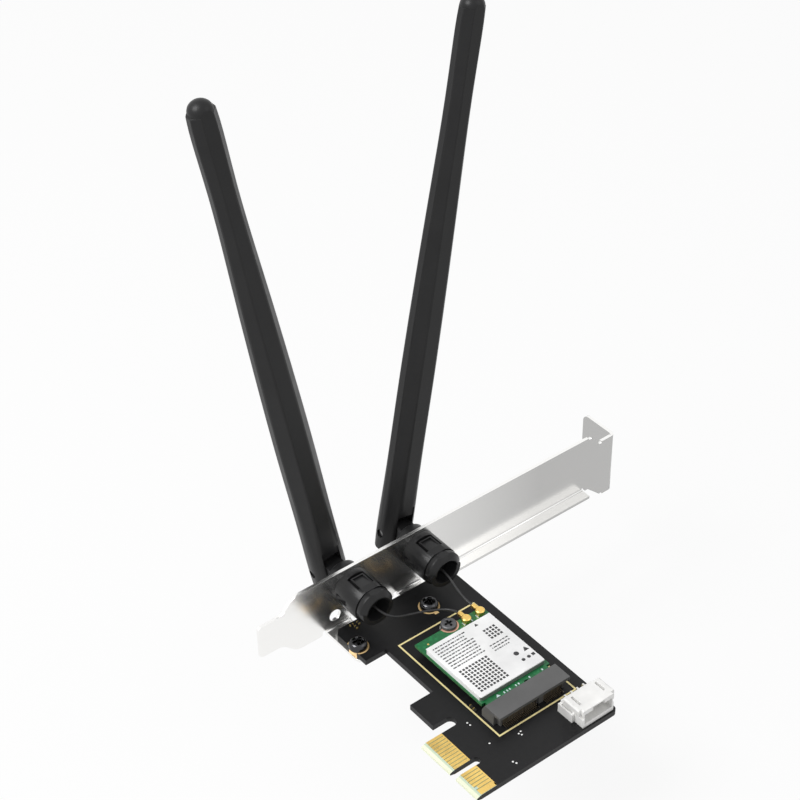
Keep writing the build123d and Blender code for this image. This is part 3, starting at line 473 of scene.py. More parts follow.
def board_mask(colour, laminate, bevel, low, high):
    """Black solder mask that stops at the fingers, where the bare laminate shows on both faces.

    The two corners are those of the contacts. The laminate is cream along the board's bevelled edge
    and pale green up to the contacts.
    """
    material, tree, shader = surface("board_mask", colour, 0.0, 0.42, 0.25)
    place = separate(tree, "ShaderNodeTexCoord", "Object")
    facing = separate(tree, "ShaderNodeNewGeometry", "True Normal")
    sideways = calculate(tree, "ABSOLUTE", facing["Y"])
    bare = calculate(tree, "LESS_THAN", place["X"], high.x)
    for value, limit in ((place["Y"], high.y + FINGER_MARGIN * MM), (sideways, SIDE_LIMIT)):
        bare = calculate(tree, "MULTIPLY", bare, calculate(tree, "LESS_THAN", value, limit))
    weave = object_noise(tree, 700.0, detail=4.0)
    mask = vary_colour(tree, shader, weave, colour, 0.85, 1.2)
    inset = CONTACT_INSET * MM
    bands = colour_ramp(tree, rescale(tree, place["X"], low.x - inset, low.x + inset),
                        (0.28, bevel), (0.32, laminate), (0.45, laminate), (0.47, INNER_LAMINATE))
    mix_colours(tree, shader, bare, mask, bands)
    vary_roughness(tree, shader, weave, 0.36, 0.48)
    bumped(tree, shader, weave, 2e-6)
    return material


def module_mask(colour):
    """Green solder mask with the faint pattern of copper under it."""
    material, tree, shader = surface("module_mask", colour, 0.0, 0.3)
    place = add_node(tree, "ShaderNodeTexCoord")
    cells = add_node(tree, "ShaderNodeTexVoronoi", Scale=900.0, distance="MANHATTAN")
    tree.links.new(place.outputs["Object"], cells.inputs["Vector"])
    pattern = colour_ramp(tree, cells.outputs["Distance"],
                          (0.15, scaled(colour, 1.25)), (0.75, scaled(colour, 0.8)))
    tree.links.new(pattern, shader.inputs["Base Color"])
    vary_roughness(tree, shader, object_noise(tree, 400.0), 0.25, 0.4)
    bumped(tree, shader, cells.outputs["Distance"], 3e-6)
    return material


# Helpers for pieces


def set_finish(name, material):
    """Gives a modelled node its finish."""
    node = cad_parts[name]
    for slot in node.material_slots:
        slot.material = material
    if not node.material_slots:
        node.data.materials.append(material)


def soften(name, width):
    """Rounds a modelled node's sharp edges a little, as plating or moulding does."""
    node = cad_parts[name]
    weld = node.modifiers.new("weld", "WELD")
    weld.merge_threshold = WELD_REACH
    bevel = node.modifiers.new("edges", "BEVEL")
    bevel.width = width
    bevel.segments = 2
    bevel.limit_method = "ANGLE"
    bevel.angle_limit = EDGE_ANGLE
    bevel.harden_normals = True


def new_piece(name, data, material, body):
    """A new piece that rides on a body and takes its finish from a slot."""
    piece = bpy.data.objects.new(name, data)
    bpy.context.scene.collection.objects.link(piece)
    piece.data.materials.append(material)
    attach(piece, body)
    return piece


def mesh_from(name, work):
    """Turns a bmesh into a mesh."""
    mesh = bpy.data.meshes.new(name)
    bmesh.ops.recalc_face_normals(work, faces=work.faces)
    work.to_mesh(mesh)
    work.free()
    return mesh


def smooth_by_angle(mesh, limit=SHARP_ANGLE):
    """Smooth faces with the sharp edges kept."""
    mesh.polygons.foreach_set("use_smooth", [True] * len(mesh.polygons))
    mesh.set_sharp_from_angle(angle=limit)


def add_block(work, low, high):
    """Adds a closed block between two corners."""
    centre = (low + high) / 2
    size = high - low
    place = Matrix.Translation(centre) @ Matrix.Diagonal((*size, 1.0))
    bmesh.ops.create_cube(work, size=1.0, matrix=place)


def card_block(work, low, high):
    """Adds a closed block between two corners given in millimetres from the bracket's tongue."""
    add_block(work, card_point(*low), card_point(*high))


def round_edges(work, edges, radius, segments):
    """Rounds some edges of a bmesh."""
    bmesh.ops.bevel(work, geom=edges, offset=radius, segments=segments, profile=0.5, affect="EDGES")


def soft_block(name, low, high, edge, corner=0.0):
    """A closed block with a softly rounded top, and round upright corners if they have a radius."""
    work = bmesh.new()
    add_block(work, low, high)
    if corner:
        upright = [e for e in work.edges if abs(e.verts[0].co.z - e.verts[1].co.z) > corner]
        round_edges(work, upright, corner, segments=6)
    top = max(work.faces, key=lambda face: face.calc_center_median().z)
    round_edges(work, list(top.edges), edge, segments=3)
    mesh = mesh_from(name, work)
    smooth_by_angle(mesh)
    return mesh


# Sizes and colours that a user would change

COLOUR = {"subtype": "COLOR", "size": 3, "min": 0, "max": 1}


class WIFICARD_PG_colours(bpy.types.PropertyGroup):
    """The colours of the card's finishes."""

    nickel: FloatVectorProperty(name="Bracket", description="Nickel plate of the bracket",
                                default=(0.49, 0.487, 0.48), **COLOUR)
    # Painted reflection: the lighter tone that the bracket's colour is mixed into near the tongue and on
    # upturned faces
    painted_sheen_nickel: FloatVectorProperty(name="Tongue", description="Brighter nickel plate of the tongue",
                                       default=(0.95, 0.945, 0.93), **COLOUR)
    mask: FloatVectorProperty(name="Board", description="Black solder mask",
                              default=(0.008, 0.008, 0.0085), **COLOUR)
    laminate: FloatVectorProperty(name="Laminate", description="Bare glass laminate before the contacts",
                                  default=(0.58, 0.68, 0.52), **COLOUR)
    bevel: FloatVectorProperty(name="Bevel", description="Cream laminate along the bevelled edge",
                               default=(0.84, 0.87, 0.66), **COLOUR)
    gold: FloatVectorProperty(name="Gold", description="Gold plate of the contacts",
                              default=(1.0, 0.68, 0.21), **COLOUR)
    green: FloatVectorProperty(name="Module", description="Green solder mask of the radio module",
                               default=(0.012, 0.16, 0.05), **COLOUR)
    can: FloatVectorProperty(name="Can", description="Tinned steel of the shield can",
                             default=(0.62, 0.62, 0.61), **COLOUR)
    film: FloatVectorProperty(name="Label", description="Plain film on the can",
                              default=(0.94, 0.94, 0.94), **COLOUR)
    ink: FloatVectorProperty(name="Ink", description="Grey print on the label",
                             default=(0.035, 0.035, 0.037), **COLOUR)
    black: FloatVectorProperty(name="Aerials", description="Satin black plastic",
                               default=(0.016, 0.016, 0.0165), **COLOUR)
    socket: FloatVectorProperty(name="Socket", description="Grey moulding of the module's socket",
                                default=(0.105, 0.105, 0.105), **COLOUR)
    white: FloatVectorProperty(name="Header", description="White nylon of the cable header",
                               default=(0.86, 0.855, 0.84), **COLOUR)


class WIFICARD_PG_sizes(bpy.types.PropertyGroup):
    """The sizes of the pieces that are made here."""

    lead_diameter: FloatProperty(name="Lead diameter", description="Outer diameter of the aerial leads",
                                 unit="LENGTH", default=0.00064, min=0.0003, max=0.003)
    board_edge: FloatProperty(name="Edge rounding", description="Rounding of the sheet and board edges",
                              unit="LENGTH", default=0.00006, min=0.0, max=0.0005)
    print_height: FloatProperty(name="Print height", description="Thickness of the print on the label",
                                unit="LENGTH", default=0.00001, min=0.0, max=0.0001)
    print_lines: IntProperty(name="Print lines", description="Long lines of print on the label",
                             default=9, min=0, max=20)


class WIFICARD_PG_camera(bpy.types.PropertyGroup):
    """The camera's place, as the photograph was taken."""

    azimuth: FloatProperty(name="Azimuth", description="Turn from straight along the board",
                           subtype="ANGLE", unit="ROTATION", default=math.radians(37.671))
    elevation: FloatProperty(name="Elevation", description="Height above the board",
                             subtype="ANGLE", unit="ROTATION", default=math.radians(38.093))
    roll: FloatProperty(name="Roll", description="Turn about the line of sight",
                        subtype="ANGLE", unit="ROTATION", default=math.radians(-0.930))
    distance: FloatProperty(name="Distance", description="From the camera to the point aimed at",
                            unit="LENGTH", default=0.52)
    aim: FloatVectorProperty(name="Aim", description="The point aimed at", subtype="XYZ", unit="LENGTH",
                             size=3, default=(-0.05882, 0.01301, 0.04066))
    lens: FloatProperty(name="Lens", description="Focal length in millimetres on a 36 mm sensor",
                        default=90.76, min=10.0, max=300.0)


class WIFICARD_PG_studio(bpy.types.PropertyGroup):
    """The studio's light and floor."""

    sky: FloatProperty(name="Sky", description="Strength of the even light from all round",
                       default=0.45, min=0.0, max=3.0)
    key_power: FloatProperty(name="Key light", description="Power of the main light, above to the left",
                             unit="POWER", default=6.4, min=0.0, max=500.0)
    fill_power: FloatProperty(name="Fill light", description="Power of the weak light, front right",
                              unit="POWER", default=0.7, min=0.0, max=500.0)
    floor_drop: FloatProperty(name="Floor drop", description="From the lowest point down to the floor",
                              unit="LENGTH", default=0.03, min=0.0)
    floor_size: FloatProperty(name="Floor size", description="Side of the floor",
                              unit="LENGTH", default=6.0)


class WIFICARD_PG_settings(bpy.types.PropertyGroup):
    """Everything that the card's operators read."""

    colours: PointerProperty(type=WIFICARD_PG_colours)
    sizes: PointerProperty(type=WIFICARD_PG_sizes)
    camera: PointerProperty(type=WIFICARD_PG_camera)
    studio: PointerProperty(type=WIFICARD_PG_studio)


def settings():
    """The scene's settings for the card."""
    return bpy.context.scene.wifi_card


# Bracket, board and contacts


class WIFICARD_OT_bracket(bpy.types.Operator):
    """Plate the slot bracket."""

    bl_idname = "wificard.bracket"
    bl_label = "Bracket"

    def execute(self, context):
        s = settings()
        nickel = rolled_nickel("bracket_nickel", s.colours.nickel, s.colours.painted_sheen_nickel)
        set_finish("bracket", nickel)
        soften("bracket", s.sizes.board_edge)
        return {"FINISHED"}


def contact_rims(low, high):
    """The plated strips that join the contacts behind, and run out to the board's front edge."""
    width = RIM_WIDTH * MM
    bottom = low.z - RIM_LIFT * MM
    top = high.z + RIM_LIFT * MM
    back = high.x + RIM_OVERHANG * MM
    front = card_y(FINGER_FRONT)
    work = bmesh.new()
    for start, end in ((card_y(KEY_BACK), high.y), (front, card_y(KEY_FRONT))):
        add_block(work, Vector((high.x - width, start, bottom)), Vector((back, end, top)))
    add_block(work, Vector((low.x, front, bottom)), Vector((high.x, low.y + width / 3, top)))
    return mesh_from("contact_rims", work)


def contact_gaps(low, high):
    """The thin lines of bare laminate between one contact and the next, on both sides of the key."""
    bottom = low.z - GAP_LIFT * MM
    top = high.z + GAP_LIFT * MM
    inner = high.x - RIM_WIDTH * MM
    pitch = CONTACT_PITCH * MM
    half = GAP_WIDTH * MM / 2
    first = (CONTACT_PITCH + CONTACT_WIDTH) * MM / 2
    work = bmesh.new()
    runs = ((high.y - first, -pitch, card_y(KEY_BACK)), (low.y + first, pitch, card_y(KEY_FRONT)))
    for middle, step, end in runs:
        while (end - middle) * step > 0:
            corner = Vector((low.x, middle - half, bottom))
            add_block(work, corner, Vector((inner, middle + half, top)))
            middle += step
    return mesh_from("contact_gaps", work)


def chip_ends():
    """The plated ends of the loose chips."""
    side = CHIP_HALF_WIDTH + CAP_SKIN
    top = CHIP_HEIGHT + CAP_SKIN
    work = bmesh.new()
    for x, y, turned, ways in CHIPS:
        for way in ways:
            ends = (way * (CHIP_HALF_LENGTH - CAP_LENGTH), way * (CHIP_HALF_LENGTH + CAP_SKIN))
            low = (min(ends), -side)
            high = (max(ends), side)
            if turned:
                low, high = low[::-1], high[::-1]
            card_block(work, (x + low[0], y + low[1], 0), (x + high[0], y + high[1], top))
    return mesh_from("chip_ends", work)


class WIFICARD_OT_board(bpy.types.Operator):
    """Finish the board, its gold line, pads, loose chips and edge contacts."""

    bl_idname = "wificard.board"
    bl_label = "Board"

    def execute(self, context):
        s = settings()
        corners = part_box("edge_contacts_top")
        mask = board_mask(s.colours.mask, s.colours.laminate, s.colours.bevel, *corners)
        set_finish("circuit_board", mask)
        soften("circuit_board", s.sizes.board_edge)
        gold = plated_metal("gold_plate", s.colours.gold, 0.3)
        bare = satin_plastic("gap_laminate", (0.34, 0.31, 0.13), 0.5, 2500.0, 1e-6)
        for name in ("edge_contacts_top", "edge_contacts_bottom"):
            set_finish(name, gold)
            new_piece(name + "_rim", contact_rims(*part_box(name)), gold, "card")
            new_piece(name + "_gaps", contact_gaps(*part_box(name)), bare, "card")
        set_finish("outline_trace", plated_metal("trace_gold", (1.0, 0.84, 0.42), 0.42, metallic=0.3))
        set_finish("screw_pads", plated_metal("pad_gold", (1.0, 0.69, 0.33), 0.42, metallic=0.4))
        set_finish("board_chips", satin_plastic("chip_ceramic", (0.02, 0.018, 0.016), 0.5, 3000.0))
        tin = plated_metal("chip_tin", (0.62, 0.47, 0.16), 0.4, metallic=0.6)
        new_piece("chip_ends", chip_ends(), tin, "card")
        return {"FINISHED"}


def solder_dots():
    """Small silver test points on the board's face."""
    flat = Matrix.Diagonal((1.0, 1.0, DOT_SQUASH, 1.0))
    work = bmesh.new()
    for x, y in TEST_POINTS:
        place = Matrix.Translation(card_point(x, y, 0)) @ flat
        bmesh.ops.create_uvsphere(work, u_segments=20, v_segments=10, radius=DOT_RADIUS * MM, matrix=place)
    mesh = mesh_from("solder_dots", work)
    smooth_by_angle(mesh)
    return mesh


class WIFICARD_OT_dots(bpy.types.Operator):
    """Add the soldered test points."""

    bl_idname = "wificard.dots"
    bl_label = "Solder dots"

    def execute(self, context):
        solder = plated_metal("solder", (0.86, 0.86, 0.85), 0.3)
        new_piece("solder_dots", solder_dots(), solder, "card")
        return {"FINISHED"}


# Screws


def head_height(r, angle, head, cross):
    """Height of a pan head with a cross recess, at a radius and angle."""
    radius, height, edge = head
    span, blade, depth = cross
    flat = radius - edge
    if r > flat:
        out = (r - flat) / edge
        top = height - edge * (1 - math.sqrt(max(0.0, 1 - out * out)))
    else:
        top = height + CROWN_SHARE * edge * (1 - (r / flat) ** 2)
    x = r * math.cos(angle)
    y = r * math.sin(angle)
    inside = 0.0
    for along, across in ((x, y), (y, x)):
        length = (span / 2 - abs(along)) / (END_SLOPE * span)
        width = (blade / 2 - abs(across)) / (SIDE_SLOPE * blade)
        inside = max(inside, min(1.0, max(0.0, length)) * min(1.0, max(0.0, width)))
    middle = max(0.0, 1 - r / (span / 2))
    return top - depth * inside * (END_DEPTH + (1 - END_DEPTH) * middle)


def add_screw(work, seat, head, cross, shank, turn):
    """A pan head as one skin of rings with its cross pressed in, and a ridged shank below it."""
    radius = head[0]
    shank_radius, length = shank
    angles = [2 * math.pi * j / SPOKES for j in range(SPOKES)]

    def ring(r, heights):
        return [
            work.verts.new(seat + Vector((r * math.cos(angle), r * math.sin(angle), height)))
            for angle, height in zip(angles, heights)
        ]

    rows = []
    for i in range(1, HEAD_RINGS + 1):
        r = radius * i / HEAD_RINGS
        rows.append(ring(r, [head_height(r, angle + turn, head, cross) for angle in angles]))
    rows.append(ring(radius, [0.0] * SPOKES))
    steps = int(length / (RIDGE_STEP * MM))
    for i in range(steps + 1):
        r = shank_radius - (i % 2) * RIDGE_DEPTH * MM
        rows.append(ring(r, [-i * length / steps] * SPOKES))
    top = work.verts.new(seat + Vector((0, 0, head_height(0.0, 0.0, head, cross))))
    for inner, outer in zip(rows, rows[1:]):
        for j in range(SPOKES):
            k = (j + 1) % SPOKES
            work.faces.new((inner[j], outer[j], outer[k], inner[k]))
    for j in range(SPOKES):
        work.faces.new((top, rows[0][j], rows[0][(j + 1) % SPOKES]))
    work.faces.new(list(reversed(rows[-1])))


def screw_piece(node, name, seats, head, cross, shank, turns, material):
    """Screws that stand where a modelled node's screws do."""
    work = bmesh.new()
    for seat, turn in zip(seats, turns):
        add_screw(work, seat, head, cross, shank, turn)
    mesh = mesh_from(name, work)
    smooth_by_angle(mesh, SCREW_SHARP_ANGLE)
    piece = new_piece(name, mesh, material, "card")
    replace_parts(piece, node)


class WIFICARD_OT_screws(bpy.types.Operator):
    """Make the bracket screws and the module's screw, with rounded, recessed heads and painted shade in
    their crosses.
    """

    bl_idname = "wificard.screws"
    bl_label = "Screws"

    def execute(self, context):
        black = plated_metal("screw_black", (0.06, 0.06, 0.063), 0.17)
        # Painted shade in the crosses of the bracket screws
        paint_shade_in_hollows(black)
        head = metres(*BRACKET_HEAD)
        low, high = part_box("bracket_screws")
        middle = (low + high) / 2
        base = high.z - head[1]
        seats = [Vector((x, middle.y, base)) for x in (low.x + head[0], high.x - head[0])]
        shank = (BRACKET_SHANK * MM, base - low.z)
        screw_piece("bracket_screws", "bracket_screw_pair", seats, head, metres(*BRACKET_CROSS), shank,
                    BRACKET_TURNS, black)
        grey = plated_metal("module_screw_grey", (0.125, 0.125, 0.13), 0.42, metallic=0.7)
        # Painted shade in the module screw's cross
        paint_shade_in_hollows(grey)
        head = metres(*MODULE_HEAD)
        low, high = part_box("module_screw")
        middle = (low + high) / 2
        seat = Vector((middle.x, middle.y, high.z - head[1]))
        shank = (MODULE_SHANK * MM, seat.z - low.z)
        screw_piece("module_screw", "module_pan_screw", [seat], head, metres(*MODULE_CROSS), shank,
                    MODULE_TURNS, grey)
        return {"FINISHED"}


# Radio module


def module_pads():
    """Small tinned pads on the module: a row before the socket, a corner mark, and beside the jacks."""
    work = bmesh.new()
    rows = ((SOCKET_PADS, SOCKET_PAD_ENDS, PAD_THICKNESS), (JACK_PADS, JACK_PAD_ENDS, 2 * PAD_THICKNESS))
    for places, (front, back), thickness in rows:
        for x in places:
            card_block(work, (x - PAD_HALF_WIDTH, front, MODULE_TOP),
                       (x + PAD_HALF_WIDTH, back, MODULE_TOP + thickness))
    low = [work.verts.new(card_point(x, y, MODULE_TOP)) for x, y in CORNER_MARK]
    high = [work.verts.new(card_point(x, y, MODULE_TOP + PAD_THICKNESS)) for x, y in CORNER_MARK]
    work.faces.new(high)
    work.faces.new(low[::-1])
    for i in range(3):
        j = (i + 1) % 3
        work.faces.new((low[i], low[j], high[j], high[i]))
    return mesh_from("module_pads", work)


def module_dot():
    """The round plated mark near the module's corner."""
    work = bmesh.new()
    place = Matrix.Translation(card_point(*ROUND_MARK, MODULE_TOP))
    low_radius, high_radius = metres(*ROUND_MARK_RADII)
    bmesh.ops.create_cone(work, cap_ends=True, segments=32, radius1=low_radius, radius2=high_radius,
                          depth=ROUND_MARK_DEPTH * MM, matrix=place)
    return mesh_from("module_dot", work)


def wall_skin(name, low, high, axis, drop):
    """A thin skin on the can's low wall across X or Y, axis 0 or 1, clear of its corners and top."""
    other = 1 - axis
    start = low.copy()
    start[axis] -= SKIN_PROUD * MM
    start[other] += CAN_CORNER * MM
    end = high.copy()
    end[axis] = low[axis] + SKIN_SUNK * MM
    end[other] -= CAN_CORNER * MM
    end.z -= drop * MM
    work = bmesh.new()
    add_block(work, start, end)
    return mesh_from(name, work)


def can_pieces(tin, film):
    """The can with its round corners, a white skin in the label's film on its left wall, and painted shade
    on its front wall.
    """
    low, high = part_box("shield_can")
    low.y = card_y(CAN_FRONT)
    shell = soft_block("pressed_can", low, high, CAN_EDGE * MM, CAN_CORNER * MM)
    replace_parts(new_piece("pressed_can", shell, tin, "card"), "shield_can")
    flap = wall_skin("left_wall_film", low, high, 0, FLAP_DROP)
    new_piece("left_wall_film", flap, film, "card")
    # Painted shade: a deep grey-green skin on the can's front wall, standing for the wall in shadow and
    # its reflection of the green board
    painted_shade = satin_plastic("can_front_painted_shade", (0.22, 0.235, 0.22), 0.45, 2200.0, 2e-6, 0.4)
    front = wall_skin("can_front_painted_shade", low, high, 1, FRONT_DROP)
    new_piece("can_front_painted_shade", front, painted_shade, "card")


def label_piece(film):
    """The label's plain sheet."""
    low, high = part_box("module_label")
    low.y = card_y(CAN_FRONT + LABEL_INSET)
    sheet = soft_block("label_sheet", low, high, LABEL_EDGE * MM)
    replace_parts(new_piece("label_sheet", sheet, film, "card"), "module_label")


class WIFICARD_OT_module(bpy.types.Operator):
    """Finish the radio module: board, can, label, stand, ring, jacks, plugs and pads."""

    bl_idname = "wificard.module"
    bl_label = "Radio module"

    def execute(self, context):
        s = settings()
        set_finish("module_board", module_mask(s.colours.green))
        soften("module_board", MODULE_EDGE * MM)
        tin = plated_metal("can_tin", s.colours.can, 0.32)
        film = satin_plastic("label_film", s.colours.film, 0.5, 900.0, 1e-6)
        can_pieces(tin, film)
        label_piece(film)
        set_finish("module_standoff", plated_metal("standoff_tin", (0.62, 0.61, 0.58), 0.3))
        set_finish("module_ring", plated_metal("ring_copper", (0.92, 0.52, 0.38), 0.35, metallic=0.5))
        gold = plated_metal("plug_gold", scaled(s.colours.gold, 0.95), 0.3)
        for name in ("coax_jacks", "left_plug", "right_plug"):
            set_finish(name, gold)
        pale = plated_metal("pad_tin", (0.66, 0.78, 0.8), 0.45, metallic=0.3)
        new_piece("module_pads", module_pads(), pale, "card")
        new_piece("module_dot", module_dot(), gold, "card")
        return {"FINISHED"}


def label_shapes(lines, height):
    """Plain bars, squares, discs and triangles in place of print, each a thin raised block."""
    face = (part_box("module_label")[1].z + SCREW_SLOT.z * MM) / MM
    lid = face + height / MM
    draw = random.Random(SEED)
    work = bmesh.new()

    def bar(x, y, width, depth):
        card_block(work, (x, y - depth, face), (x + width, y, lid))

    def bar_line(x, right, back, depth, spread):
        while x < right:
            width = BAR_LEAST + spread * draw.random()
            bar(x, back, width, depth)
            x += width + BAR_GAP

    for i in range(lines):
        right = LONG_RIGHT + LONG_RAGGED * draw.random()
        bar_line(LONG_LEFT, right, LONG_BACK - PRINT_STEP * i, LONG_DEPTH, LONG_SPREAD)
    for left, back, count in SQUARE_FIELDS:
        for i in range(count):
            for j in range(count):
                bar(left + PRINT_STEP * i, back - PRINT_STEP * j, SQUARE_SIDE, SQUARE_SIDE)
    for i in range(SHORT_LINES):
        right = SHORT_RIGHT - SHORT_TAPER * i
        bar_line(SHORT_LEFT, right, SHORT_BACK - SHORT_STEP * i, SHORT_DEPTH, SHORT_SPREAD)
    for x, y, radius, sides in SPOTS:
        place = Matrix.Translation(card_point(x, y, face))
        bmesh.ops.create_cone(work, cap_ends=True, segments=sides, radius1=radius * MM,
                              radius2=radius * MM, depth=2 * height, matrix=place)
    left, back, side = PLAIN_SQUARE
    bar(left, back, side, side)
    return mesh_from("label_print", work)


class WIFICARD_OT_label(bpy.types.Operator):
    """Lay plain grey bars and fields on the label."""

    bl_idname = "wificard.label"
    bl_label = "Label print"

    def execute(self, context):
        s = settings()
        ink = satin_plastic("label_ink", s.colours.ink, 0.55, 900.0, 1e-6)
        mesh = label_shapes(s.sizes.print_lines, s.sizes.print_height)
        new_piece("label_print", mesh, ink, "card")
        return {"FINISHED"}


# Socket and header


class WIFICARD_OT_socket(bpy.types.Operator):
    """Finish the module's socket and its contacts."""

    bl_idname = "wificard.socket"
    bl_label = "Module socket"

    def execute(self, context):
        s = settings()
        set_finish("module_socket", satin_plastic("socket_grey", s.colours.socket, 0.5, 2500.0, 3e-6))
        soften("module_socket", SOCKET_EDGE * MM)
        set_finish("socket_contacts", plated_metal("contact_tin", (0.25, 0.22, 0.175), 0.3))
        return {"FINISHED"}


class WIFICARD_OT_header(bpy.types.Operator):
    """Finish the white cable header and its pins."""

    bl_idname = "wificard.header"
    bl_label = "Cable header"

    def execute(self, context):
        s = settings()
        set_finish("header_housing", satin_plastic("header_nylon", s.colours.white, 0.38, 2000.0, 2e-6))
        soften("header_housing", MOULDED_EDGE * MM)
        set_finish("header_pins", plated_metal("pin_tin", (0.75, 0.74, 0.72), 0.25))
        return {"FINISHED"}


# Leads


def lead_curve(name, route, radius):
    """A lead as one smooth spline through its route's control points."""
    curve = bpy.data.curves.new(name, "CURVE")
    curve.dimensions = "3D"
    curve.bevel_depth = radius
    curve.bevel_resolution = 6
    curve.resolution_u = 16
    curve.use_fill_caps = True
    spline = curve.splines.new("NURBS")
    spline.points.add(len(route) - 1)
    for point, place in zip(spline.points, route):
        point.co = (*card_point(*place), 1.0)
    spline.order_u = 3
    spline.use_endpoint_u = True
    return curve


class WIFICARD_OT_leads(bpy.types.Operator):
    """Run the two aerial leads along their routes."""

    bl_idname = "wificard.leads"
    bl_label = "Aerial leads"

    def execute(self, context):
        radius = settings().sizes.lead_diameter / 2
        jacket = satin_plastic("lead_jacket", (0.028, 0.028, 0.029), 0.36, 2500.0, 2e-6, 0.4)
        for side, route in (("left", LEFT_ROUTE), ("right", RIGHT_ROUTE)):
            name = side + "_lead_line"
            piece = new_piece(name, lead_curve(name, route, radius), jacket, "card")
            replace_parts(piece, side + "_lead")
        return {"FINISHED"}


# Aerials and their mounts


class WIFICARD_OT_mounts(bpy.types.Operator):
    """Finish the glands, swivels and hinge pins."""

    bl_idname = "wificard.mounts"
    bl_label = "Aerial mounts"

    def execute(self, context):
        s = settings()
        black = satin_plastic("mount_black", s.colours.black, 0.3, 1800.0, 2e-6, 0.25)
        steel = plated_metal("pin_steel", (0.22, 0.22, 0.22), 0.3)
        for side in ("left", "right"):
            for name in (side + "_gland", side + "_swivel"):
                set_finish(name, black)
                soften(name, MOULDED_EDGE * MM)
            set_finish(side + "_hinge_pin", steel)
        return {"FINISHED"}


class WIFICARD_OT_aerials(bpy.types.Operator):
    """Finish the two aerials and the conductors inside them."""

    bl_idname = "wificard.aerials"
    bl_label = "Aerials"

    def execute(self, context):
        s = settings()
        black = satin_plastic("aerial_black", s.colours.black, 0.36, 1500.0, 2e-6, 0.22)
        brass = plated_metal("inner_brass", (0.78, 0.58, 0.27), 0.3)
        for side in ("left", "right"):
            set_finish(side + "_aerial", black)
            set_finish(side + "_radiator", brass)
        return {"FINISHED"}


# Studio


def add_lamp(name, side, power, place):
    """A soft square light that faces the card."""
    light = bpy.data.lights.new(name, "AREA")
    light.shape = "RECTANGLE"
    light.size = side
    light.size_y = side
    light.energy = power
    lamp = bpy.data.objects.new(name, light)
    lamp.location = place
    lamp.rotation_euler = (Vector(LIT_POINT) - Vector(place)).to_track_quat("-Z", "Y").to_euler()
    bpy.context.scene.collection.objects.link(lamp)


def seen_white(tree):
    """One for a ray from the camera, a reflection or a pane, else nought."""
    path = add_node(tree, "ShaderNodeLightPath")
    seen = path.outputs["Is Camera Ray"]
    for kind in ("Is Glossy Ray", "Is Transmission Ray"):
        seen = calculate(tree, "MAXIMUM", seen, path.outputs[kind])
    return seen


def studio_world(strength):
    """An even sky that the camera, metal and glass see as plain white."""
    world = bpy.data.worlds.new("studio")
    bpy.context.scene.world = world
    world.use_nodes = True
    tree = world.node_tree
    tree.nodes.clear()
    even = add_node(tree, "ShaderNodeBackground", Color=(*WHITE, 1.0), Strength=strength)
    white = add_node(tree, "ShaderNodeBackground", Color=(*WHITE, 1.0), Strength=1.0)
    out = add_node(tree, "ShaderNodeOutputWorld")
    mix_shaders(tree, seen_white(tree), even.outputs["Background"], white.outputs["Background"], out)


def floor_material():
    """A pale floor that the camera sees as white paper with the object's faint shadow."""
    material, tree, shader = surface("floor_white", (0.8, 0.8, 0.8), 0.0, 0.8, 0.2)
    glow = add_node(tree, "ShaderNodeEmission", Strength=1.0)
    share = calculate(tree, "MULTIPLY", seen_white(tree), FLOOR_GLOW)
    out = tree.nodes["Material Output"]
    mix_shaders(tree, share, shader.outputs["BSDF"], glow.outputs["Emission"], out)
    vary_roughness(tree, shader, object_noise(tree, 12.0), 0.7, 0.85)
    return material


def lay_floor(size, drop):
    """A square floor a drop below the lowest point of the model."""
    half = size / 2
    level = cad_box[0][2] - drop
    work = bmesh.new()
    corners = [Vector((x * half, y * half, level)) for x, y in ((-1, -1), (1, -1), (1, 1), (-1, 1))]
    work.faces.new([work.verts.new(corner) for corner in corners])
    floor = bpy.data.objects.new("floor", mesh_from("floor", work))
    bpy.context.scene.collection.objects.link(floor)
    floor.data.materials.append(floor_material())


def place_camera(view):
    """The camera at the photograph's angle, lens and distance."""
    ahead = Vector((
        math.sin(view.azimuth) * math.cos(view.elevation),
        math.cos(view.azimuth) * math.cos(view.elevation),
        -math.sin(view.elevation),
    ))
    level = Vector((math.cos(view.azimuth), -math.sin(view.azimuth), 0.0))
    above = level.cross(ahead)
    right = level * math.cos(view.roll) + above * math.sin(view.roll)
    up = right.cross(ahead)
    turn = Matrix((right, up, -ahead)).transposed().to_4x4()
    lens = bpy.data.cameras.new("camera")
    lens.lens = view.lens
    lens.sensor_width = 36.0
    lens.clip_start = 0.01
    lens.clip_end = 50.0
    camera = bpy.data.objects.new("camera", lens)
    camera.matrix_world = Matrix.Translation(Vector(view.aim) - ahead * view.distance) @ turn
    bpy.context.scene.collection.objects.link(camera)
    bpy.context.scene.camera = camera


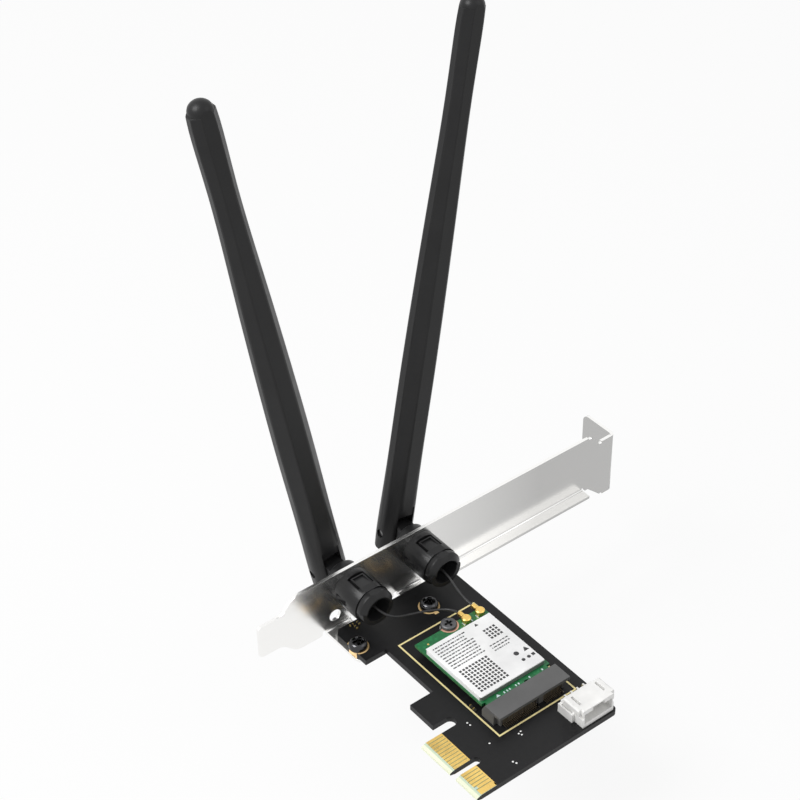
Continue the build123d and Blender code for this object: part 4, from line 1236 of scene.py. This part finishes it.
class WIFICARD_OT_stage(bpy.types.Operator):
    """Set up the floor, the studio light and the camera."""

    bl_idname = "wificard.stage"
    bl_label = "Stage"

    def execute(self, context):
        s = settings()
        context.scene.view_settings.view_transform = "Standard"
        studio_world(s.studio.sky)
        lay_floor(s.studio.floor_size, s.studio.floor_drop)
        add_lamp("key_light", KEY_SIDE, s.studio.key_power, KEY_PLACE)
        add_lamp("fill_light", FILL_SIDE, s.studio.fill_power, FILL_PLACE)
        place_camera(s.camera)
        return {"FINISHED"}


class WIFICARD_PT_panel(bpy.types.Panel):
    """Lists the card's pieces and their settings in the sidebar."""

    bl_idname = "WIFICARD_PT_panel"
    bl_label = "Wireless card"
    bl_space_type = "VIEW_3D"
    bl_region_type = "UI"
    bl_category = "Wireless card"

    def draw(self, context):
        s = context.scene.wifi_card
        for group in (s.colours, s.sizes, s.camera, s.studio):
            box = self.layout.box()
            for key in group.bl_rna.properties.keys():
                if key not in ("rna_type", "name"):
                    box.prop(group, key)
        for step in STEPS:
            self.layout.operator(step.bl_idname)


STEPS = (
    WIFICARD_OT_stage,
    WIFICARD_OT_bracket,
    WIFICARD_OT_board,
    WIFICARD_OT_dots,
    WIFICARD_OT_screws,
    WIFICARD_OT_module,
    WIFICARD_OT_label,
    WIFICARD_OT_socket,
    WIFICARD_OT_header,
    WIFICARD_OT_leads,
    WIFICARD_OT_mounts,
    WIFICARD_OT_aerials,
)

GROUPS = (
    WIFICARD_PG_colours,
    WIFICARD_PG_sizes,
    WIFICARD_PG_camera,
    WIFICARD_PG_studio,
    WIFICARD_PG_settings,
)


def register():
    """Makes the classes and the settings known."""
    for part in GROUPS + STEPS + (WIFICARD_PT_panel,):
        bpy.utils.register_class(part)
    bpy.types.Scene.wifi_card = PointerProperty(type=WIFICARD_PG_settings)


def unregister():
    """Takes them away again."""
    del bpy.types.Scene.wifi_card
    for part in reversed(GROUPS + STEPS + (WIFICARD_PT_panel,)):
        bpy.utils.unregister_class(part)


def run_step(step):
    """Calls one operator by its name."""
    group, name = step.bl_idname.split(".")
    result = getattr(getattr(bpy.ops, group), name)()
    if result != {"FINISHED"}:
        raise RuntimeError(step.bl_label + " did not finish")


def main():
    """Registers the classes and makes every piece."""
    register()
    for step in STEPS:
        run_step(step)


if __name__ == "__main__":
    main()
